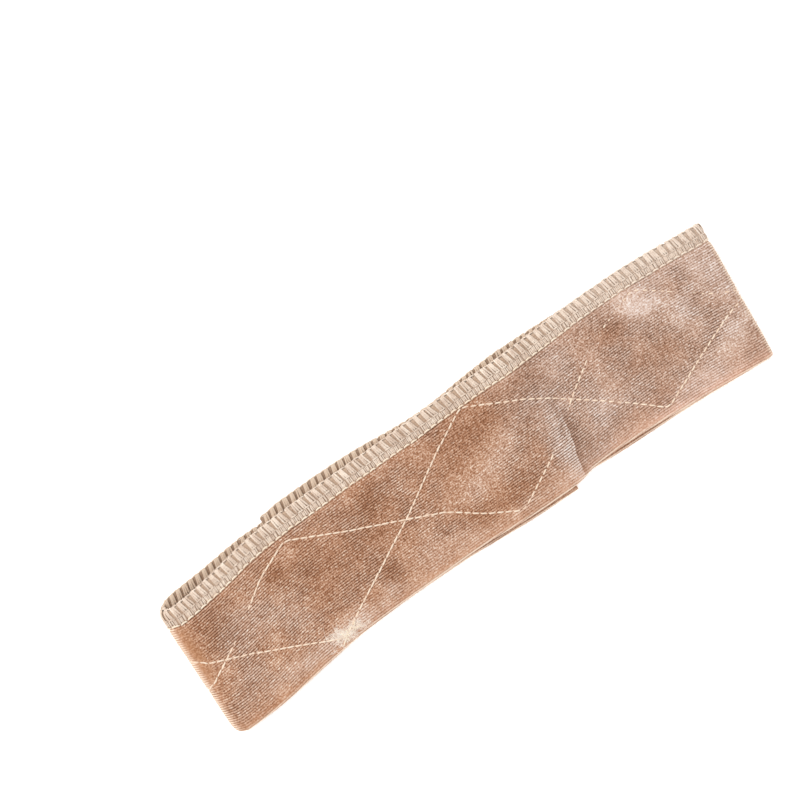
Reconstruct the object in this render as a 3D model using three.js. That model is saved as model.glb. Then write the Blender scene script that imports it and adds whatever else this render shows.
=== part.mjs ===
// Wig grip band: a loop of doubled stretch velvet, closed at the back of the head
// and laid flat, so that it lies in three runs.
//
// Millimetres, +Z up. X runs along the band from the loose fold to the tight fold,
// Y runs across it towards the overlocked edge, and the underside lies at Z = 0.
//
// The strip is one length of cloth. It starts at the tongue's end, runs to the tight
// fold, comes back over the top to the loose fold, and ends at the tail's end. The
// tongue lies on the tail where the two are fastened together.

import * as THREE from "three";

// Plan of the folded band
const foldedLength = 275;      // over both cross folds
const bandWidth = 60;          // overlocked edge to lengthwise fold, unstretched
const tailLength = 172;        // loose fold to the tail's end
const overlapLength = 114;     // tongue lying on the tail
const looseFoldSlant = 1.5;    // how far the loose fold runs out towards its lower corner
const tightFoldSlant = 6;      // how far the tight fold runs in towards its lower corner
const looseCornerRadius = 4.5; // lower corner of the loose fold, seen from above
const looseLipRadius = 5;      // its overlocked corner, which rolls over to the tail
const tightCornerRadius = 1.2; // lower corner of the tight fold

// Cloth
const plyThickness = 1.0;      // one layer of stretch velvet with its pile
const plyGap = 0.3;            // air between the two layers of a run
const quiltPuff = 0.45;        // rise of the top run between its quilting seams
const quiltSoftness = 6;       // distance over which a seam's valley opens out

// Overlocked edge
const overlockWidth = 8;       // thread over both faces, from the edge inwards
const threadWall = 0.4;        // depth of that thread
const pinchedPly = 0.5;        // one layer where the thread presses it
const pinchRamp = 1.5;         // over which the pile comes back to its full height

// Stack
const clearance = 0.3;         // between two pieces that lie on each other
const runGap = 0.4;            // between the top run and what it lies on
const tightFoldRadius = 2.2;   // to the middle of the cloth
const foldEase = 22;           // over which the tight fold's bulge dies out
const creaseLength = 20;       // slope where the runs step down off the tail's end
const creaseLead = 1;          // level stretch past the tail's end before that slope
const wrinkleHeight = 0.8;     // ridge that the step pushes up, strongest near the lower edge
const wrinkleSpread = 3;       // half its breadth
const wrinkleLead = 5;         // from the tail's end to the ridge's lower end
const wrinkleLean = 0.3;       // how far the ridge leans along the band for each mm across
const bridgeSag = 0.35;        // sag of the top run between the loose fold and the tongue

// Hook and loop closure between tail and tongue
const closureThickness = 1.6;
const closureWidth = 40;
const closureInset = 3;        // from the tail's overlock
const closureMargin = 7;       // from each end of the overlap
const closureCornerRadius = 8;

// The cloth gives way a little where a fold is at its outermost, so only this share of a
// corner's arc is taken off there
const cornerShare = 0.6;

// Fineness of the mesh
const topStep = 7;
const hiddenStep = 16;
const creaseSteps = 7;
const foldSteps = 8;
const faceColumns = 9;

// Sizes that follow from the ones above
const runThickness = 2 * plyThickness + plyGap;
const half = runThickness / 2;
const threadDepth = 2 * (threadWall + clearance + pinchedPly) + plyGap;
const threadProud = threadDepth - runThickness;   // beyond the inner face of a run
const nestStep = runThickness + 2 * Math.max(threadProud, 0) + runGap;
const restHeight = half;
const tongueHeight = restHeight + runThickness + closureThickness + 2 * clearance;
const topHeight = tongueHeight + nestStep;
const lowTopHeight = restHeight + nestStep;
const looseFoldRadius = (topHeight - restHeight) / 2;
const tongueEnd = tailLength - overlapLength;
const looseFoldCentre = looseFoldSlant + looseFoldRadius + half;
const tightFoldCentre = foldedLength - tightFoldRadius - half;

// Where each run lies, seen from above. along is a share of the folded length, edge is
// how far the overlocked edge lies in from the reference line, and width is the run's
// width there, both as shares of the band's width.
const topRun = [
  { along: 0.00, edge: 0.038, width: 1.002 },
  { along: 0.03, edge: 0.057, width: 0.987 },
  { along: 0.09, edge: 0.033, width: 1.000 },
  { along: 0.18, edge: -0.032, width: 1.014 },
  { along: 0.25, edge: -0.053, width: 1.000 },
  { along: 0.45, edge: -0.060, width: 0.990 },
  { along: 0.55, edge: -0.068, width: 1.024 },
  { along: 0.63, edge: -0.065, width: 1.020 },
  { along: 0.67, edge: -0.070, width: 0.992 },
  { along: 0.77, edge: -0.087, width: 1.020 },
  { along: 0.87, edge: -0.082, width: 1.053 },
  { along: 1.00, edge: -0.030, width: 1.037 },
];
const tailRun = [
  { along: 0.00, edge: 0.028, width: 1.006 },
  { along: 0.03, edge: -0.013, width: 1.015 },
  { along: 0.09, edge: -0.035, width: 1.018 },
  { along: 0.18, edge: -0.066, width: 1.014 },
  { along: 0.42, edge: -0.043, width: 0.990 },
  { along: 0.54, edge: -0.027, width: 1.010 },
  { along: 0.63, edge: -0.010, width: 1.003 },
];
const tongueRun = [
  { along: 0.21, edge: -0.100, width: 1.000 },
  { along: 0.25, edge: -0.118, width: 1.008 },
  { along: 0.37, edge: -0.112, width: 1.010 },
  { along: 0.49, edge: -0.070, width: 0.988 },
  { along: 0.62, edge: -0.105, width: 1.022 },
  { along: 0.70, edge: -0.097, width: 1.045 },
  { along: 0.84, edge: -0.074, width: 1.042 },
  { along: 1.00, edge: -0.030, width: 1.037 },
];

// Turning points of the two quilting seams on the top run, as shares of the folded
// length and of the run's own width.
const quiltSeams = [
  [
    { along: 0.00, across: 0.40 },
    { along: 0.215, across: 0.955 },
    { along: 0.549, across: 0.135 },
    { along: 0.805, across: 0.955 },
    { along: 1.00, across: 0.57 },
  ],
  [
    { along: 0.00, across: 0.645 },
    { along: 0.222, across: 0.17 },
    { along: 0.542, across: 0.945 },
    { along: 0.860, across: 0.16 },
    { along: 1.00, across: 0.49 },
  ],
];

const clamp01 = (t) => Math.min(Math.max(t, 0), 1);

// 0 before from, 1 after to, and an S-shaped rise between them
function ease(at, from, to) {
  const t = clamp01((at - from) / (to - from));
  return t * t * (3 - 2 * t);
}

// Value of a column between the rows of a table, on a smooth curve through them
function read(table, column, along) {
  const last = table.length - 1;
  const at = Math.min(Math.max(along, table[0].along), table[last].along);
  let i = 0;
  while (i < last - 1 && at > table[i + 1].along) i += 1;
  const slope = (k) => {
    const before = table[Math.max(k - 1, 0)];
    const after = table[Math.min(k + 1, last)];
    return (after[column] - before[column]) / (after.along - before.along);
  };
  const span = table[i + 1].along - table[i].along;
  const t = (at - table[i].along) / span;
  const bow = t * (1 - t);
  return (1 - t * t * (3 - 2 * t)) * table[i][column]
    + t * t * (3 - 2 * t) * table[i + 1][column]
    + span * bow * ((1 - t) * slope(i) - t * slope(i + 1));
}

// Straight line between the turning points of a quilting seam
function seamAcross(seam, along) {
  let i = 0;
  while (i < seam.length - 2 && along > seam[i + 1].along) i += 1;
  const t = clamp01((along - seam[i].along) / (seam[i + 1].along - seam[i].along));
  return seam[i].across + t * (seam[i + 1].across - seam[i].across);
}

// Rise of the pile: nothing on a seam, on the overlock and at the lengthwise fold
function puff(x, v, width) {
  const along = x / foldedLength;
  let valley = 1;
  for (const seam of quiltSeams) {
    const distance = v - seamAcross(seam, along) * width;
    valley *= 1 - Math.exp(-((distance / quiltSoftness) ** 2));
  }
  const clearOfOverlock = ease(v, overlockWidth, overlockWidth + 2 * quiltSoftness);
  const clearOfFold = 1 - ease(v, width - 2 * quiltSoftness, width - half);
  return quiltPuff * valley * clearOfOverlock * clearOfFold + wrinkle(x, v, width);
}

// The slanting ridge beyond the tail's end, dying out towards the overlock
function wrinkle(x, v, width) {
  const ridge = tailLength + wrinkleLead + wrinkleLean * (width - v);
  const rise = Math.exp(-(((x - ridge) / wrinkleSpread) ** 2));
  return wrinkleHeight * rise * ease(v, 0.25 * width, 0.75 * width)
    * (1 - ease(v, width - 4 * half, width - half));
}

// Height of the middle of the cloth in each run
const creaseStart = tailLength + creaseLead;

function tongueLevel(x) {
  const down = ease(x, creaseStart, creaseStart + creaseLength);
  return tongueHeight + (restHeight - tongueHeight) * down;
}

function topLevel(x) {
  const down = ease(x, creaseStart, creaseStart + creaseLength);
  const bulge = restHeight + 2 * tightFoldRadius - lowTopHeight;
  const span = clamp01((x - looseFoldCentre) / (tongueEnd - looseFoldCentre));
  return topHeight + (lowTopHeight - topHeight) * down
    + bulge * ease(x, tightFoldCentre - foldEase, tightFoldCentre)
    - bridgeSag * Math.sin(Math.PI * span) ** 2;
}

// Places from one end of a stretch to the other, evenly spread, first one included
function spread(from, to, step) {
  const count = Math.max(Math.round(Math.abs(to - from) / step), 1);
  return Array.from({ length: count }, (_, i) => from + (to - from) * i / count);
}

// A section's place in a run: the middle of the cloth, the way out of the loop, and
// the run's edge and width there
function runStation(x, level, table, heading, puffed) {
  const reach = 0.5;
  const rise = (level(x + reach) - level(x - reach)) / (2 * reach);
  const size = Math.hypot(1, rise);
  return {
    x,
    z: level(x),
    outX: heading * rise / size,
    outZ: -heading / size,
    edge: read(table, "edge", x / foldedLength) * bandWidth,
    width: read(table, "width", x / foldedLength) * bandWidth,
    pull: 0,
    puffed,
  };
}

// A section's place in a cross fold. turn goes from 0 to 1 round the fold.
function foldStation(centre, radius, start, turn, fromTable, toTable) {
  const along = centre / foldedLength;
  const angle = (start + 180 * turn) * Math.PI / 180;
  const mix = (column) => read(fromTable, column, along) * (1 - turn)
    + read(toTable, column, along) * turn;
  return {
    x: centre + radius * Math.cos(angle),
    z: restHeight + radius + radius * Math.sin(angle),
    outX: Math.cos(angle),
    outZ: Math.sin(angle),
    edge: mix("edge") * bandWidth,
    width: mix("width") * bandWidth,
    pull: Math.cos(angle),
    puffed: 0,
  };
}

// The whole strip, section by section, from the tongue's end to the tail's end
function stripStations() {
  const stations = [];
  const creaseEnd = creaseStart + creaseLength;
  const creaseStep = creaseLength / creaseSteps;

  const tongueX = [
    ...spread(tongueEnd, creaseStart, hiddenStep),
    ...spread(creaseStart, creaseEnd, creaseStep),
    ...spread(creaseEnd, tightFoldCentre, hiddenStep),
  ];
  for (const x of tongueX) stations.push(runStation(x, tongueLevel, tongueRun, 1, 0));

  for (let i = 0; i <= foldSteps; i += 1) {
    stations.push(foldStation(
      tightFoldCentre, tightFoldRadius, -90, i / foldSteps, tongueRun, topRun));
  }

  const topX = [
    ...spread(tightFoldCentre, creaseEnd, topStep).slice(1),
    ...spread(creaseEnd, creaseStart, creaseStep),
    ...spread(creaseStart, looseFoldCentre, topStep),
  ];
  for (const x of topX) {
    const level = ease(x, looseFoldCentre, looseFoldCentre + 2 * topStep)
      * (1 - ease(x, tightFoldCentre - 2 * topStep, tightFoldCentre));
    stations.push(runStation(x, topLevel, topRun, -1, level));
  }

  for (let i = 0; i <= foldSteps; i += 1) {
    stations.push(foldStation(
      looseFoldCentre, looseFoldRadius, 90, i / foldSteps, topRun, tailRun));
  }

  const level = () => restHeight;
  const tailX = [...spread(looseFoldCentre, tailLength, hiddenStep).slice(1), tailLength];
  for (const x of tailX) stations.push(runStation(x, level, tailRun, 1, 0));
  return stations;
}

// How far the slanted folds shift a point along X at share t of the run's width
function slantShift(x, t) {
  const loose = looseFoldSlant * (1 - ease(x, 0, bandWidth));
  const tight = tightFoldSlant * ease(x, foldedLength - bandWidth, foldedLength);
  return -(loose + tight) * t;
}

// How far a corner's arc lies behind its straight edge, a way into the corner
function cornerSetback(into, radius) {
  return radius * (1 - Math.sqrt(1 - clamp01(into / radius) ** 2));
}

// A point of a section: v across from the overlocked edge, n out of the loop
function sectionPoint(station, v, n) {
  const { x, z, outX, outZ, edge, width, pull, puffed } = station;
  const corner = pull > 0 ? tightCornerRadius : looseCornerRadius;
  const lip = pull > 0 ? tightCornerRadius : looseLipRadius;
  const rounding = cornerSetback(v - width + corner, corner) + cornerSetback(lip - v, lip);
  const swell = n >= half - 0.001 ? puffed * puff(x, v, width) : 0;
  return new THREE.Vector3(
    x + slantShift(x, v / width) - pull * rounding * cornerShare + (n + swell) * outX,
    -edge - v,
    z + (n + swell) * outZ,
  );
}

// Doubled velvet: two layers joined by the lengthwise fold, open at the raw edges,
// which the overlock presses thinner
function velvetOutline(width) {
  const rawEdge = threadWall + clearance;
  const pinchEnd = overlockWidth + clearance;
  const rampEnd = pinchEnd + pinchRamp;
  const foldStart = width - half;
  const outerPinch = half - threadWall - clearance;
  const middleOfPinch = outerPinch - pinchedPly - plyGap / 2;
  const innerPinch = middleOfPinch - plyGap / 2 - pinchedPly;
  const face = (i) => rampEnd + (foldStart - rampEnd) * i / faceColumns;

  const outline = [[rawEdge, outerPinch], [pinchEnd, outerPinch]];
  for (let i = 0; i <= faceColumns; i += 1) outline.push([face(i), half]);
  for (const angle of [60, 30, 0, -30, -60]) {
    const a = angle * Math.PI / 180;
    outline.push([foldStart + half * Math.cos(a), half * Math.sin(a)]);
  }
  outline.push([foldStart, -half], [(foldStart + rampEnd) / 2, -half], [rampEnd, -half]);
  outline.push([pinchEnd, innerPinch], [rawEdge, innerPinch]);
  outline.push([rawEdge, middleOfPinch - plyGap / 2], [pinchEnd, middleOfPinch - plyGap / 2]);
  outline.push([rampEnd, -plyGap / 2], [foldStart, -plyGap / 2]);
  outline.push([foldStart + plyGap / 2, 0], [foldStart, plyGap / 2], [rampEnd, plyGap / 2]);
  outline.push([pinchEnd, middleOfPinch + plyGap / 2], [rawEdge, middleOfPinch + plyGap / 2]);
  return outline;
}

// Overlock thread: a channel over the raw edges, level with the pile on the outside
function overlockOutline() {
  const top = half;
  const bottom = half - threadDepth;
  const bend = 0.7 * threadWall;
  return [
    [overlockWidth, top - threadWall], [threadWall, top - threadWall],
    [threadWall, bottom + threadWall], [overlockWidth, bottom + threadWall],
    [overlockWidth, bottom], [threadWall + bend, bottom], [bend, bottom + 0.3 * bend],
    [0, bottom + threadWall + bend], [0, top - threadWall - bend],
    [bend, top - 0.3 * bend], [threadWall + bend, top], [overlockWidth, top],
  ];
}

// Closed mesh of an outline carried through the stations, flat at both ends
function sweep(stations, outlineOf) {
  const positions = [];
  const indices = [];
  const count = outlineOf(stations[0].width).length;
  for (const station of stations) {
    for (const [v, n] of outlineOf(station.width)) {
      positions.push(...sectionPoint(station, v, n).toArray());
    }
  }
  for (let i = 0; i + 1 < stations.length; i += 1) {
    for (let j = 0; j < count; j += 1) {
      const next = (j + 1) % count;
      const a = i * count + j;
      const b = i * count + next;
      const c = a + count;
      const d = b + count;
      indices.push(a, d, b, a, c, d);
    }
  }
  const contour = outlineOf(stations[0].width).map(([v, n]) => new THREE.Vector2(v, n));
  const lastRow = (stations.length - 1) * count;
  for (const [a, b, c] of THREE.ShapeUtils.triangulateShape(contour, [])) {
    indices.push(a, c, b);
    indices.push(lastRow + a, lastRow + b, lastRow + c);
  }
  const geometry = new THREE.BufferGeometry();
  geometry.setAttribute("position", new THREE.Float32BufferAttribute(positions, 3));
  geometry.setIndex(indices);
  geometry.computeVertexNormals();
  return geometry;
}

function closureGeometry() {
  const length = overlapLength - 2 * closureMargin;
  const [x, y, r] = [length / 2, closureWidth / 2, closureCornerRadius];
  const shape = new THREE.Shape();
  shape.absarc(x - r, y - r, r, 0, Math.PI / 2);
  shape.absarc(-x + r, y - r, r, Math.PI / 2, Math.PI);
  shape.absarc(-x + r, -y + r, r, Math.PI, Math.PI * 1.5);
  shape.absarc(x - r, -y + r, r, Math.PI * 1.5, Math.PI * 2);
  return new THREE.ExtrudeGeometry(shape, {
    depth: closureThickness, bevelEnabled: false, curveSegments: 6,
  });
}

function namedMesh(name, geometry, color, roughness) {
  const material = new THREE.MeshStandardMaterial({ color, roughness, metalness: 0 });
  const mesh = new THREE.Mesh(geometry, material);
  mesh.name = name;
  return mesh;
}

function closure() {
  const mesh = namedMesh("hook_and_loop_closure", closureGeometry(), 0xb98f6b, 0.9);
  const centre = tongueEnd + overlapLength / 2;
  const tailEdge = read(tailRun, "edge", centre / foldedLength) * bandWidth;
  const fromTop = tailEdge + overlockWidth + closureInset + closureWidth / 2;
  mesh.position.set(centre, -fromTop, runThickness + clearance);
  return mesh;
}

const stations = stripStations();
const group = new THREE.Group();
group.add(namedMesh("velvet_band", sweep(stations, velvetOutline), 0xb08263, 0.95));
group.add(namedMesh("overlock_edge", sweep(stations, overlockOutline), 0xd6c3b0, 0.85));
group.add(closure());

// The origin is under the middle of the whole band
const box = new THREE.Box3().setFromObject(group);
const middle = box.getCenter(new THREE.Vector3());
group.position.set(-middle.x, -middle.y, -box.min.z);

export default group;
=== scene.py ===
# %% [markdown]
# # A wig grip band, laid flat in three runs
#
# The band is one strip of stretch velvet, doubled lengthwise, overlocked along its raw
# edges and quilted with two crossing zigzag seams. It is closed into a loop and laid
# flat. The solids of the construction come in first and stay where they are, because
# every surface made here has to sit in the space that they hold.

# %% Load the construction
import bpy
import mathutils
import numpy as np
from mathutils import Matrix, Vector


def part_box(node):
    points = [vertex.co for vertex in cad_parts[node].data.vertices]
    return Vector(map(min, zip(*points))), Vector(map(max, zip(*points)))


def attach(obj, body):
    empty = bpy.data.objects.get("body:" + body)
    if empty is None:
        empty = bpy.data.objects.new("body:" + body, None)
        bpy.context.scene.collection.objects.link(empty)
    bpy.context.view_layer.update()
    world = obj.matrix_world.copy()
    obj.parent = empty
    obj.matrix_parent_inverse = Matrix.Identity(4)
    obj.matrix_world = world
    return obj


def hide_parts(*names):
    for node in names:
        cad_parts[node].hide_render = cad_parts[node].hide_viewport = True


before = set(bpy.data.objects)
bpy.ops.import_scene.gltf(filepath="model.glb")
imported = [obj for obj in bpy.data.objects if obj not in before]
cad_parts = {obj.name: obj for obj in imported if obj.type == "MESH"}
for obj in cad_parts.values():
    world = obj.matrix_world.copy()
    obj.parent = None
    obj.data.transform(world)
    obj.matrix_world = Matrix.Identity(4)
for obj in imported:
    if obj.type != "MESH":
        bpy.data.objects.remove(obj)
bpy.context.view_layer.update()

print("solids:", ", ".join(sorted(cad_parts)))

# %% [markdown]
# ## Sizes
#
# A sewn thing is easiest to think of in millimetres, so all shapes are worked out in
# millimetres and turned into metres once, when a mesh is made. The sizes are those of
# the construction. Colours are given on a scale of 0 to 255 and turned into the linear
# values that the shaders add light with.

# %% Sizes of the band, in millimetres
MM = 0.001
FOLDED_LENGTH = 275.0
BAND_WIDTH = 60.0
TAIL_LENGTH = 172.0
OVERLAP = 114.0
LOOSE_SLANT, TIGHT_SLANT = 1.5, 6.0
LOOSE_CORNER, LOOSE_LIP, TIGHT_CORNER, CORNER_SHARE = 4.5, 5.0, 1.2, 0.6
PLY, PLY_GAP = 1.0, 0.3
OVERLOCK_WIDTH, THREAD_WALL, PINCHED_PLY = 8.0, 0.4, 0.5
CLEARANCE, RUN_GAP = 0.3, 0.4
CLOSURE_DEPTH, CLOSURE_MARGIN, CLOSURE_INSET = 1.6, 7.0, 3.0
TIGHT_RADIUS, FOLD_EASE = 2.2, 22.0
CREASE_LEAD, CREASE_LENGTH, BRIDGE_SAG = 1.0, 20.0, 0.35

RUN = 2 * PLY + PLY_GAP
HALF = RUN / 2
THREAD_DEPTH = 2 * (THREAD_WALL + CLEARANCE + PINCHED_PLY) + PLY_GAP
NEST = RUN + 2 * (THREAD_DEPTH - RUN) + RUN_GAP
TONGUE_LEVEL = HALF + RUN + CLOSURE_DEPTH + 2 * CLEARANCE
TOP_LEVEL = TONGUE_LEVEL + NEST
LOW_TOP_LEVEL = HALF + NEST
LOOSE_RADIUS = (TOP_LEVEL - HALF) / 2
TONGUE_END = TAIL_LENGTH - OVERLAP
LOOSE_CENTRE = LOOSE_SLANT + LOOSE_RADIUS + HALF
TIGHT_CENTRE = FOLDED_LENGTH - TIGHT_RADIUS - HALF
CREASE_START = TAIL_LENGTH + CREASE_LEAD
CREASE_END = CREASE_START + CREASE_LENGTH
WRINKLED_FROM, WRINKLED_TO = TAIL_LENGTH, TAIL_LENGTH + 30
PINCH_END = OVERLOCK_WIDTH + CLEARANCE
RAMP_END = PINCH_END + 1.5


def srgb(red, green, blue):
    """Linear colour of a colour as it looks, each part from 0 to 255."""
    parts = np.array([red, green, blue]) / 255
    linear = np.where(parts <= 0.04045, parts / 12.92, ((parts + 0.055) / 1.055) ** 2.4)
    return tuple(float(part) for part in linear)


print(f"run {RUN} mm thick, top run's middle {TOP_LEVEL:.2f} mm up")

# %% [markdown]
# ## How the runs lie
#
# Nothing sewn lies quite straight. Each run has a short table: at a share of the folded
# length, how far its overlocked edge lies in from a straight line, and how wide it is,
# both as shares of the band's width. A smooth curve through the rows gives every place
# between them, for a whole array of places at once. A curve object could hold the same
# course, but a table in shares can be read and follows the band's sizes.

# %% Tables of the three runs and a curve through them
TOP_RUN = dict(
    along=[0.00, 0.03, 0.09, 0.18, 0.25, 0.45, 0.55, 0.63, 0.67, 0.77, 0.87, 1.00],
    edge=[.038, .057, .033, -.032, -.053, -.060, -.068, -.065, -.070, -.087, -.082, -.030],
    width=[1.002, .987, 1.0, 1.014, 1.0, .990, 1.024, 1.020, .992, 1.020, 1.053, 1.037],
)
TAIL_RUN = dict(
    along=[0.00, 0.03, 0.09, 0.18, 0.42, 0.54, 0.63],
    edge=[.028, -.013, -.035, -.066, -.043, -.027, -.010],
    width=[1.006, 1.015, 1.018, 1.014, .990, 1.010, 1.003],
)
TONGUE_RUN = dict(
    along=[0.21, 0.25, 0.37, 0.49, 0.62, 0.70, 0.84, 1.00],
    edge=[-.100, -.118, -.112, -.070, -.105, -.097, -.074, -.030],
    width=[1.000, 1.008, 1.010, .988, 1.022, 1.045, 1.042, 1.037],
)


def ease(at, start, end):
    """0 before start, 1 after end, and 3t² - 2t³ on the way."""
    t = np.clip((at - start) / (end - start), 0, 1)
    return t * t * (3 - 2 * t)


def read(table, column, along):
    """A cubic between each two rows, whose slope at a row is that between its neighbours."""
    knots, values = np.array(table["along"]), np.array(table[column])
    before = np.maximum(np.arange(len(knots)) - 1, 0)
    after = np.minimum(np.arange(len(knots)) + 1, len(knots) - 1)
    slope = (values[after] - values[before]) / (knots[after] - knots[before])
    at = np.clip(along, knots[0], knots[-1])
    i = np.clip(np.searchsorted(knots, at, side="right") - 1, 0, len(knots) - 2)
    span = knots[i + 1] - knots[i]
    t = (at - knots[i]) / span
    blend = t * t * (3 - 2 * t)
    bow = span * t * (1 - t) * ((1 - t) * slope[i] - t * slope[i + 1])
    return (1 - blend) * values[i] + blend * values[i + 1] + bow


print("edge of the top run at mid length:", round(float(read(TOP_RUN, "edge", 0.5)) * BAND_WIDTH, 2), "mm")

# %% [markdown]
# ## The camera
#
# The photograph looks straight down, with the band turned by a little over a third of a
# right angle. A long lens from well above gives that flat view. The camera hangs over
# the middle of the picture, which lies a little off the band, so no lens shift is
# needed, and the framing follows from how many millimetres one picture's width shows.

# %% Camera straight above the picture's middle
PICTURE_WIDTH = 328.3 * MM
PICTURE_MIDDLE = (-4.7 * MM, 40.1 * MM)
BAND_TURN = np.radians(34.985)
CAMERA_HEIGHT = 1.6
SENSOR = 36.0

camera_data = bpy.data.cameras.new("camera_above")
camera_data.sensor_width = SENSOR
camera_data.lens = SENSOR * CAMERA_HEIGHT / PICTURE_WIDTH
camera = bpy.data.objects.new("camera_above", camera_data)
camera.location = (*PICTURE_MIDDLE, CAMERA_HEIGHT)
camera.rotation_euler = (0, 0, -BAND_TURN)
bpy.context.scene.collection.objects.link(camera)
bpy.context.scene.camera = camera
bpy.context.scene.view_settings.view_transform = "Standard"
print(f"lens {camera_data.lens:.0f} mm")

# %% [markdown]
# ## The strip, section by section
#
# Seen from the side, the middle of the cloth follows one path: along the tongue, round
# the tight fold, back over the top, round the loose fold and along the tail. Each place
# on the path is a section: where it is, which way is out of the loop, and how the run
# lies there. The path is closely divided where it shows and coarsely where it doesn't.
# Three flat runs with bent ends could be joined instead, but one path keeps them a
# single strip, whose length can be measured.

# %% Levels of the runs


def spread(start, end, step):
    """Evenly spaced places from start up to, but not with, end."""
    count = max(int(round(abs(end - start) / step)), 1)
    return start + (end - start) * np.arange(count) / count


def tongue_level(x):
    """Level on the tail, then an S-shaped slope down to the table."""
    return TONGUE_LEVEL + (HALF - TONGUE_LEVEL) * ease(x, CREASE_START, CREASE_END)


def top_level(x):
    """Follows the tongue down, swells at the tight fold and sags over the open bight."""
    down = (LOW_TOP_LEVEL - TOP_LEVEL) * ease(x, CREASE_START, CREASE_END)
    swell = HALF + 2 * TIGHT_RADIUS - LOW_TOP_LEVEL
    swell = swell * ease(x, TIGHT_CENTRE - FOLD_EASE, TIGHT_CENTRE)
    span = np.clip((x - LOOSE_CENTRE) / (TONGUE_END - LOOSE_CENTRE), 0, 1)
    return TOP_LEVEL + down + swell - BRIDGE_SAG * np.sin(np.pi * span) ** 2


def tail_level(x):
    """Flat on the table."""
    return HALF + 0 * x


print(f"top run {top_level(100.0):.1f} mm up over the tail, {top_level(230.0):.1f} mm beyond it")

# %% Sections of a run and of a cross fold


def level_run(x, level, table, heading, on_top):
    """Sections of a run: the way out of the loop is square to the slope of its level."""
    reach = 0.5
    rise = (level(x + reach) - level(x - reach)) / (2 * reach)
    size = np.hypot(1, rise)
    along = x / FOLDED_LENGTH
    return dict(
        x=x, z=level(x), out_x=heading * rise / size, out_z=-heading / size,
        edge=read(table, "edge", along) * BAND_WIDTH,
        width=read(table, "width", along) * BAND_WIDTH,
        pull=0 * x, on_top=on_top + 0 * x,
    )


def cross_fold(centre, radius, start, steps, table_in, table_out):
    """Sections on half a circle, going from one run's lie to the other's."""
    along = centre / FOLDED_LENGTH
    turn = np.linspace(0, 1, steps + 1)
    angle = np.radians(start + 180 * turn)

    def mix(column):
        """A column's way from the one run's number to the other's."""
        return (read(table_in, column, along) * (1 - turn)
                + read(table_out, column, along) * turn) * BAND_WIDTH

    return dict(
        x=centre + radius * np.cos(angle), z=HALF + radius + radius * np.sin(angle),
        out_x=np.cos(angle), out_z=np.sin(angle), edge=mix("edge"), width=mix("width"),
        pull=np.cos(angle), on_top=np.clip(np.sin(angle), 0, 1) ** 0.5,
    )


tight_fold = cross_fold(TIGHT_CENTRE, TIGHT_RADIUS, -90, 4, TONGUE_RUN, TOP_RUN)
print("the tight fold rises through", np.round(tight_fold["z"], 1), "mm")

# %% The strip laid end to end


def lay_strip(top_step, hidden_step, fold_steps):
    """The five stretches joined end to end, with the length of cloth up to each section."""
    tongue_x = np.concatenate([
        spread(TONGUE_END, CREASE_START, hidden_step),
        spread(CREASE_START, CREASE_END, hidden_step / 2),
        spread(CREASE_END, TIGHT_CENTRE, hidden_step),
    ])
    top_x = np.concatenate([
        spread(TIGHT_CENTRE, WRINKLED_TO, top_step)[1:],
        spread(WRINKLED_TO, WRINKLED_FROM, top_step / 2),
        spread(WRINKLED_FROM, LOOSE_CENTRE, top_step),
    ])
    tail_x = np.append(spread(LOOSE_CENTRE, TAIL_LENGTH, hidden_step)[1:], TAIL_LENGTH)
    stretches = [
        level_run(tongue_x, tongue_level, TONGUE_RUN, 1, 0),
        cross_fold(TIGHT_CENTRE, TIGHT_RADIUS, -90, fold_steps, TONGUE_RUN, TOP_RUN),
        level_run(top_x, top_level, TOP_RUN, -1, 1),
        cross_fold(LOOSE_CENTRE, LOOSE_RADIUS, 90, fold_steps, TOP_RUN, TAIL_RUN),
        level_run(tail_x, tail_level, TAIL_RUN, 1, 0),
    ]
    strip = {key: np.concatenate([part[key] for part in stretches]) for key in stretches[0]}
    strip["stretch"] = np.concatenate(
        [np.full(len(part["x"]), i) for i, part in enumerate(stretches)])
    step = np.hypot(np.diff(strip["x"]), np.diff(strip["z"]))
    strip["cloth"] = np.concatenate([[0], np.cumsum(step)])
    return strip


rough = lay_strip(top_step=2, hidden_step=8, fold_steps=16)
STRIP_LENGTH = float(rough["cloth"][-1])
TIGHT_RIM = float(rough["cloth"][rough["stretch"] == 1][-1])
LOOSE_RIM = float(rough["cloth"][rough["stretch"] == 3][0])
print(f"strip of {STRIP_LENGTH:.0f} mm in {len(rough['x'])} sections")

# %% [markdown]
# ## Two quilting seams
#
# Two lines of stitches zigzag between the overlock and the lengthwise fold and cross
# halfway. On the top run they are read from the photograph as short tables, because no
# regular zigzag meets all their turns. Past the cross folds they do carry on as one: the
# arcsine of a sine is a triangle wave, and taking the sine a little under full height
# rounds its corners.

# %% Where the seams run
SEAM_ONE = dict(
    along=[0, .087, .16, .2145, .305, .389, .487, .549, .633, .709, .771, .804, .887, .971, 1],
    across=[.40, .59, .794, .95, .747, .549, .28, .135, .327, .595, .819, .945, .777, .614, .57],
    loose_heading=-1, tight_heading=-1,
)
SEAM_TWO = dict(
    along=[0, .087, .124, .16, .222, .305, .389, .444, .487, .54, .633, .706, .778, .86, .953, 1],
    across=[.645, .44, .350, .265, .175, .372, .549, .664, .813, .94, .72, .494, .288, .16, .423,
            .52],
    loose_heading=1, tight_heading=1,
)
SEAM_MIDDLE, SEAM_SWING, HALF_ZIGZAG, CORNER_KEPT = 0.55, 0.40, 88.0, 0.985
CORNER_ROUND = 0.008


def zigzag(t):
    """A triangle wave between -1 and 1 with rounded corners, rising through 0 at t = 0."""
    return np.arcsin(CORNER_KEPT * np.sin(np.pi * t)) / np.arcsin(CORNER_KEPT)


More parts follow.
